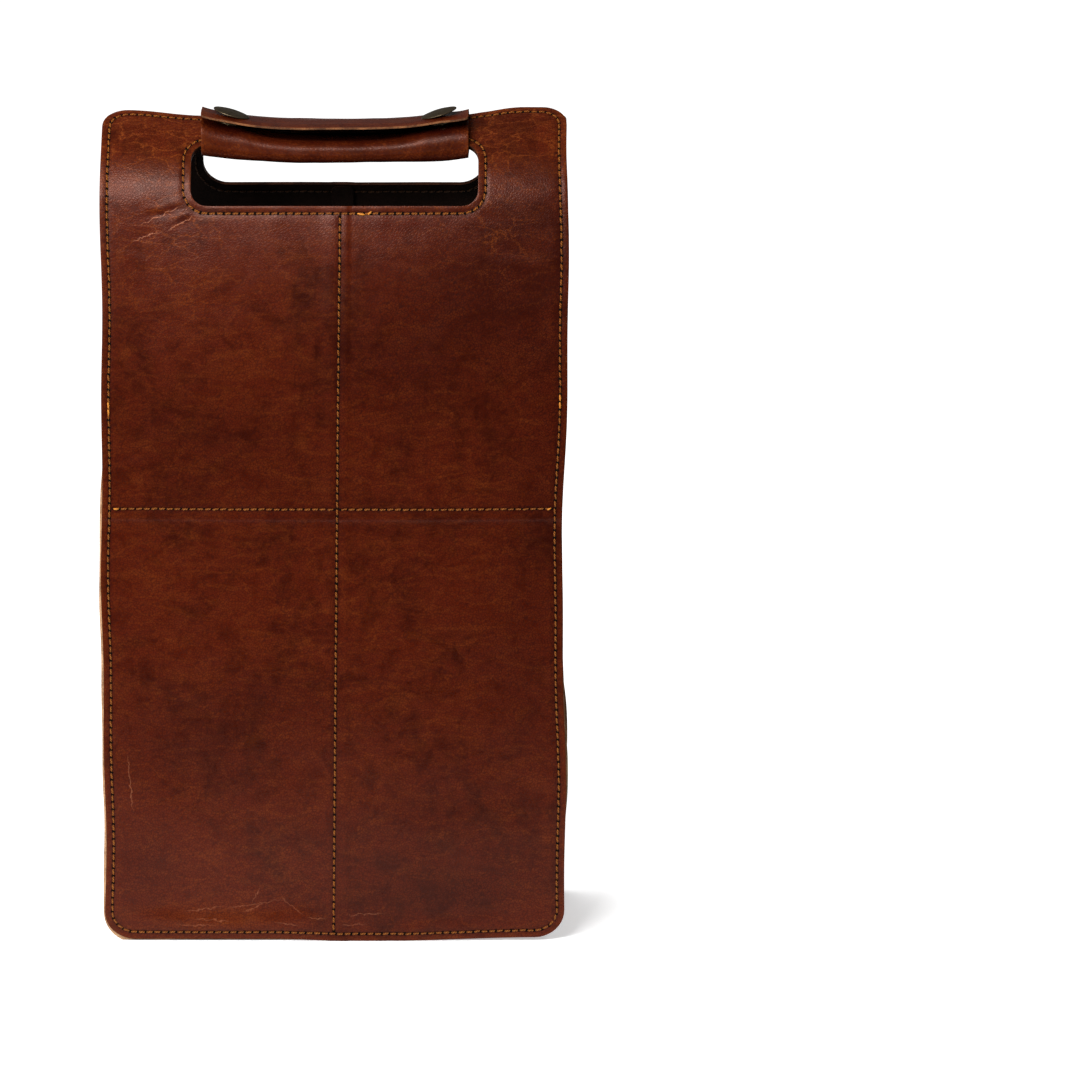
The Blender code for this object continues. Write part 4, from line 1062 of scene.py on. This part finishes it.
def wrap_piece(name, first, last, holes):
    """Cuts, wears, paints shade on and bends the part of the wrap between two rows."""
    start = row_mark(first) + (HALF_GAP if first else 0)
    end = row_mark(last) - (0 if first else HALF_GAP)
    outline = rounded(-HALF_WRAP, start, HALF_WRAP, end, WRAP_CORNER, WRAP_CORNER, steps=4)
    loops = [outline] + [punched(x, run) for x, run in holes]
    cuts = [m for m in MARKS[first * STEPS + 1 : last * STEPS] if start + SLIVER < m < end - SLIVER]
    ends = [(-HALF_WRAP, -HALF_WRAP), (HALF_WRAP, HALF_WRAP)]
    pattern = flat_pattern(loops, scored(-HALF_WRAP, HALF_WRAP, 0.0018, 0.0007, ends, 0.003), cuts)
    x, run = pattern[0].T
    rise = wrap_relief(x, run)
    edge = distance_to([(outline, True)], x, run)
    snap = np.min([np.hypot(x - a, run - b) for a, b in holes], axis=0)
    # Painted shade: the colour is darkened under the wrap's roll, where shade falls, and on the lip below the
    # flap, in the flap's shadow.
    belly, shadow = row_mark(BELLY_ROW), row_mark(SHADOW_ROW)
    painted_underside_shade = smooth((run - belly) / (shadow - belly)) * smooth((row_mark(BACK_ROW) - run) / 0.004)
    wear = {
        "creased": 0 * edge + 0.4,
        "worn": np.exp(-edge / 0.0009) * 0.5 + 0.08,
        "pressed": 0.8 * np.exp(-((snap / 0.0085) ** 4)),
        "grain": np.stack([x, true_run(x, run)], 1),
        "shade": 0.75 * painted_underside_shade + 0.6 * smooth((row_mark(FOLD_ROW) - run) / 0.0035),
    }
    pared = PARED * np.exp(-edge / 0.0022)
    outer, inner = on_wrap(x, run, -WRAP_THICK / 2 - rise), on_wrap(x, run, WRAP_THICK / 2 - rise - pared)
    return closed_sheet(name, pattern, outer, inner, (WRAP_HIDE, FLESH_AND_SHADE, RAW_EDGE), wear, bevel=0.0002)


lip_holes = [(x, row_mark(LIP_SNAP_ROW)) for x in (-STUD_X, STUD_X)]
flap_holes = [(x, row_mark(FLAP_SNAP_ROW)) for x in (-SNAP_X, SNAP_X)]
wrap_front = wrap_piece("wrap_front", 0, SPLIT_ROW, lip_holes)
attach(wrap_front, "front_top")
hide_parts("handle_front")
wrap_back = wrap_piece("wrap_back", SPLIT_ROW, LAST_ROW, flap_holes)
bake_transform(wrap_back)
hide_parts("handle_back", "handle_flap")

# %% [markdown]
# ## Snaps
#
# Each snap has a domed cap and a socket on the flap, and a stud and a post on the lip. The cap is
# what shows, so it is turned again here with a rolled rim and a fine profile. The other three are
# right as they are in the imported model, and only take the brass.

# %% Snap caps and the rest of the brass
CAP_RADIUS, CAP_UP = 0.0074, 0.335800
# From the post's foot in the middle, out under the cap, round its rolled rim and back over the dome.
CAP_PROFILE = (
    (0.0, -0.00145), (0.0014, -0.00145), (0.0014, 0.00105), (0.0069, 0.00105), (0.00725, 0.00112),
    (CAP_RADIUS, 0.0013), (0.00738, 0.0015), (0.0072, 0.00162), (0.0069, 0.00164), (0.0066, 0.00170),
    (0.0060, 0.00188), (0.0051, 0.00208), (0.0038, 0.00228), (0.0024, 0.00240), (0.0011, 0.00245),
    (0.0, 0.00246),
)


def turned(name, profile, place, axis, steps=56):
    """A turned piece: its profile of radius and height is spun round its axis."""
    bm = bmesh.new()
    rings = []
    for radius, height in profile:
        turn = [i / steps * math.tau for i in range(steps if radius > 0 else 1)]
        rings.append([bm.verts.new((radius * math.cos(a), radius * math.sin(a), height)) for a in turn])
    for ring, following in zip(rings, rings[1:]):
        for i in range(steps):
            low = [ring[i - 1], ring[i]] if len(ring) > 1 else [ring[0]]
            high = [following[i], following[i - 1]] if len(following) > 1 else [following[0]]
            bm.faces.new(low + high)
    bmesh.ops.recalc_face_normals(bm, faces=bm.faces[:])
    turn = Vector((0, 0, 1)).rotation_difference(axis).to_matrix().to_4x4()
    bmesh.ops.transform(bm, matrix=Matrix.Translation(place) @ turn, verts=bm.verts[:])
    mesh = bpy.data.meshes.new(name)
    bm.to_mesh(mesh)
    bm.free()
    mesh.shade_smooth()
    return put_in_scene(name, mesh, [BRASS])


for side, hand in ((-1, "left"), (1, "right")):
    place, axis = Vector((side * SNAP_X, SNAP_Y, CAP_UP)), Vector((-side * 0.28, -0.02, 0.960))
    cap = turned(f"cap_{hand}", CAP_PROFILE, place, axis)
    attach(cap, "flap")
    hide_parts(f"snap_cap_{hand}")
    for part in ("socket", "stud", "post"):
        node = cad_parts[f"snap_{part}_{hand}"]
        node.data.materials.clear()
        node.data.materials.append(BRASS)
print("cap", CAP_RADIUS * 2000, "mm across")

# %% [markdown]
# ## Stitches
#
# A lockstitch seam is a row of separate short beads of thread. Each comes up out of a needle hole,
# lies a little askew and goes down the next one, 3.1 mm on. Drawing the beads one by one costs little
# and is what makes a seam read as sewn. Every seam is built along its path on the flat hide and bent
# with it, so that it lies in its groove.

# %% Beads of thread
PITCH, THREAD_RADIUS, HOLE_RADIUS, HOLE_SIDES = 0.0031, 0.00040, 0.00078, 6
BEAD_STEPS, BEAD_SIDES, BEAD_SHARE, BEAD_TAPER = 7, 7, 0.86, 0.55
BEAD_ARCH, BEAD_SUNK, BEAD_ASKEW, KNOT_PROUD = 0.00030, 0.00012, 0.0012, 0.0004
SEWN, PUNCHED, NEW_THREAD, ON_LINING = 0, 1, 2, 3


def stitch_places(points, closed):
    """Evenly spaced needle holes along a path."""
    run = np.concatenate([[0], np.cumsum([math.dist(a, b) for a, b in spans(points, closed)])])
    count = max(round(run[-1] / PITCH), 1)
    corners = np.array(points + points[:1] if closed else points)
    at = np.linspace(0, run[-1], count + 1)
    return np.stack([np.interp(at, run, corners[:, k]) for k in (0, 1)], 1)


def bead_faces(beads):
    """The faces of a row of beads, each a closed tube."""
    faces = []
    for bead in range(beads):
        first = bead * BEAD_STEPS * BEAD_SIDES
        for step in range(BEAD_STEPS - 1):
            for k in range(BEAD_SIDES):
                a, b = first + step * BEAD_SIDES + k, first + step * BEAD_SIDES + (k + 1) % BEAD_SIDES
                faces.append((a, b, b + BEAD_SIDES, a + BEAD_SIDES))
        faces.append([first + k for k in reversed(range(BEAD_SIDES))])
        faces.append([first + (BEAD_STEPS - 1) * BEAD_SIDES + k for k in range(BEAD_SIDES)])
    return faces


def seam_thread(name, side, holes, extra, inside, open_hole, seed):
    """One seam as a mesh: a bead of thread for each stitch, and a disc of painted shade for the needle hole at
    each end.
    A seam that shows on the lining too gets a second row of beads there, in thread painted dark as shade."""
    chance = np.random.default_rng(seed)
    spots, turns = [], []
    along, around = np.linspace(-1, 1, BEAD_STEPS), np.arange(BEAD_SIDES) / BEAD_SIDES * math.tau
    pairs, lining_face = list(zip(holes, holes[1:])), LINING_DEPTH + LINING_THICK
    beads = [(start, end, 0.0, SEWN) for start, end in pairs]
    beads += [(start, end, 0.0, ON_LINING) for start, end in pairs if inside]
    beads += [(np.array(start), np.array(end), KNOT_PROUD, NEW_THREAD) for start, end in extra]
    for start, end, lift_off, kind in beads:
        way = (end - start) / np.linalg.norm(end - start)
        aside = np.array([-way[1], way[0]])
        middle, half = (start + end) / 2, np.linalg.norm(end - start) / 2 * BEAD_SHARE
        tilt, fat, shift = chance.normal(0.10, 0.05), chance.normal(1.0, 0.06), chance.normal(0, 0.00004)
        for t in along:
            radius = THREAD_RADIUS * fat * (1 - BEAD_TAPER * abs(t) ** 3)
            height = BEAD_ARCH * (1 - abs(t) ** 3) - BEAD_SUNK + lift_off
            centre = middle + way * half * t + aside * (tilt * t * BEAD_ASKEW + shift)
            for a in around:
                proud = height + radius * math.sin(a) * 0.85
                depth = lining_face + proud if kind == ON_LINING else -proud
                spots.append((*(centre + aside * radius * math.cos(a)), depth))
                turns.append(((t + 1) * half * 1000, a / math.tau * 2.28, 0.0))
    faces = bead_faces(len(beads))
    each = len(faces) // len(beads)
    kinds = [beads[i // each][3] for i in range(len(faces))]
    # Each needle hole is a flat disc painted near black: painted shade for the inside of the hole.
    for x, height in holes:
        first = len(spots)
        wide_hole = HOLE_RADIUS * open_hole * chance.uniform(0.85, 1.1)
        for k in range(HOLE_SIDES):
            turn = k * math.tau / HOLE_SIDES
            spots.append((x + wide_hole * math.cos(turn), height + wide_hole * math.sin(turn), -0.00005))
            turns.append((x * 1000, height * 1000, 0))
        faces.append(list(range(first, first + HOLE_SIDES)))
        kinds.append(PUNCHED)
    spots = np.array(spots)
    placed = on_panel(side, spots[:, 0], spots[:, 1], spots[:, 2])
    mesh = bpy.data.meshes.new(name)
    mesh.from_pydata(placed.tolist(), [], faces)
    piece = put_in_scene(name, mesh, (THREAD, HOLE_SHADE, FRESH, THREAD_IN_SHADE))
    mesh.polygons.foreach_set("material_index", np.array(kinds, np.int32))
    carry(mesh, "flat", turns, "FLOAT_VECTOR", "vector")
    mesh.shade_smooth()
    return piece


# %% [markdown]
# ## Fresh ends of thread
#
# Where a seam starts or stops the maker sews back over it, and a knot of thread stands proud. Waxed
# thread that has not been pressed flat is brighter, so these few beads have a finish of their own.

# %% Backstitches and knots
def fresh_thread():
    """Thread that still has its golden wax."""
    look = Look("fresh_thread")
    twist = look.noise(look.flat(), 1.6, detail=3)
    colour = look.mix(twist.between(0.3, 0.7), (0.26, 0.080, 0.008, 1), (0.62, 0.24, 0.030, 1))
    normal = look.bump(twist, 0.5, 0.0002)
    return look.finish(Base_Color=colour, Roughness=0.5 + twist * 0.2, Normal=normal, Specular_IOR_Level=0.2)


FRESH = fresh_thread()
# The seam, the two ends of the backstitch on the flat hide, and how many beads it has.
BACKSTITCHES = (
    ("edge", -0.0905, 0.2185, -0.0905, 0.2245, 2), ("edge", 0.0905, 0.2215, 0.0905, 0.2275, 2),
    ("cross_left", -0.0890, 0.1808, -0.0866, 0.1803, 1), ("cross_right", 0.0872, 0.1803, 0.0892, 0.1808, 1),
    ("hole", 0.0090, 0.3001, 0.0125, 0.2993, 1), ("hole", 0.0132, 0.2996, 0.0152, 0.3007, 1),
)

# %% [markdown]
# ## Sewing it
#
# The seams that cross the head of the side strip bend there with the panel. The round seam of the hand
# hole belongs to the top that swings.

# %% All the seams
made = 0
for side, word in SIDES:
    for seed, (seam, (points, closed)) in enumerate(SEAMS[side].items()):
        holes, extra = stitch_places(points, closed), []
        for name, x0, y0, x1, y1, count in BACKSTITCHES:
            if name == seam:
                ends = [(x0 + (x1 - x0) * i / count, y0 + (y1 - y0) * i / count) for i in range(count + 1)]
                extra += list(zip(ends, ends[1:]))
        open_hole = 0.72 if seam.startswith("cross") else 1.0
        chance = seed + 10 * side + 20
        stitches = seam_thread(f"{word}_{seam}_stitches", side, holes, extra, seam == "hole", open_hole, chance)
        made += len(holes)
        if seam in ("edge", "divider"):
            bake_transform(stitches)
            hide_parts(f"{word}_{seam}_thread_lower", f"{word}_{seam}_thread_upper")
        elif seam == "hole":
            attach(stitches, f"{word}_top")
            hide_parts(f"{word}_hole_thread")
        else:
            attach(stitches, "body")
            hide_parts(f"{word}_cross_thread_{seam[6:]}")
print(made, "stitches")

# %% [markdown]
# ## The board it stands on
#
# The carrier stands on plain pale board. The board glows a little, so that it stays white to its edge
# and only the carrier's own shadow darkens it. It ends just in front of the carrier, because dark waxed
# leather would mirror a wide white board and turn pink.

# %% Floor
FLOOR_REACH, FLOOR_FRONT = 7, -0.26
pale = Look("pale_board")
board = pale.noise(pale.node("TexCoord", {}, out="Object"), 3.0, detail=2)
plain = pale.mix(board, (0.82, 0.82, 0.82, 1), (0.85, 0.85, 0.85, 1))
glow = pale.mix(board, (0.95, 0.95, 0.95, 1), (1, 1, 1, 1))
pale.finish(Base_Color=plain, Roughness=0.8 + board * 0.1, Emission_Color=glow, Emission_Strength=0.45)
floor_mesh = bpy.data.meshes.new("floor")
left, right, near, far = -FLOOR_REACH, FLOOR_REACH, FLOOR_FRONT, FLOOR_REACH
floor_corners = [(left, near, 0), (right, near, 0), (right, far, 0), (left, far, 0)]
floor_mesh.from_pydata(floor_corners, [], [(0, 1, 2, 3)])
floor = put_in_scene("floor", floor_mesh, [pale.material])

# %% [markdown]
# ## Soft studio light
#
# Four lamps do the work of a studio. A wide one overhead gives the soft shadow, a broad key from the
# upper left lights the front, a small one close above draws the gloss on the shoulders, and a weak
# fill opens the right side. The surround is white to the camera but dim to the leather.

# %% Light
DIM, WHITE, AIM = 0.09, 1.0, Vector((0, 0, 0.17))
world = bpy.data.worlds.new("pale surround")
bpy.context.scene.world = world
world.use_nodes = True
surround, rays = world.node_tree.nodes["Background"], world.node_tree.nodes.new("ShaderNodeLightPath")
level = world.node_tree.nodes.new("ShaderNodeMapRange")
level.inputs["To Min"].default_value, level.inputs["To Max"].default_value = DIM, WHITE
world.node_tree.links.new(rays.outputs["Is Camera Ray"], level.inputs["Value"])
world.node_tree.links.new(level.outputs[0], surround.inputs["Strength"])
surround.inputs["Color"].default_value = (1.0, 1.0, 1.0, 1)


def lamp(name, kind, place, power, **settings):
    """A lamp at a place, aimed at the middle of the carrier."""
    light = bpy.data.lights.new(name, kind)
    light.energy = power
    for key, value in settings.items():
        setattr(light, key, value)
    holder = bpy.data.objects.new(name, light)
    holder.location = place
    holder.rotation_euler = (AIM - Vector(place)).to_track_quat("-Z", "Y").to_euler()
    bpy.context.scene.collection.objects.link(holder)
    return holder


overhead = lamp("overhead", "SUN", (-0.45, 0.5, 1.6), 2.6, angle=math.radians(60))
overhead.visible_glossy = False
lamp("key", "AREA", (-0.85, -1.05, 0.87), 26, size=0.55)
lamp("shoulder", "AREA", (-0.19, -0.79, 0.80), 7.5, size=0.26)
lamp("fill", "AREA", (1.5, -1.3, 0.8), 3, size=1.0)

# %% [markdown]
# ## The camera
#
# The camera is far away with a long lens, so that upright edges stay upright. It looks down a little,
# just enough to show the top of the handle and the dark inside through the hand hole.

# %% Camera
ELEVATION, AWAY, TARGET = math.radians(12.5), 2.8, Vector((0.0822, 0.0, 0.1588))
eye = bpy.data.cameras.new("camera")
eye.lens, eye.sensor_width, eye.clip_end = 228.4, 36, 60
camera = bpy.data.objects.new("camera", eye)
camera.location = TARGET + AWAY * Vector((0, -math.cos(ELEVATION), math.sin(ELEVATION)))
camera.rotation_euler = (math.pi / 2 - ELEVATION, 0, 0)
bpy.context.scene.collection.objects.link(camera)
bpy.context.scene.camera = camera
bpy.context.scene.view_settings.view_transform = "Standard"
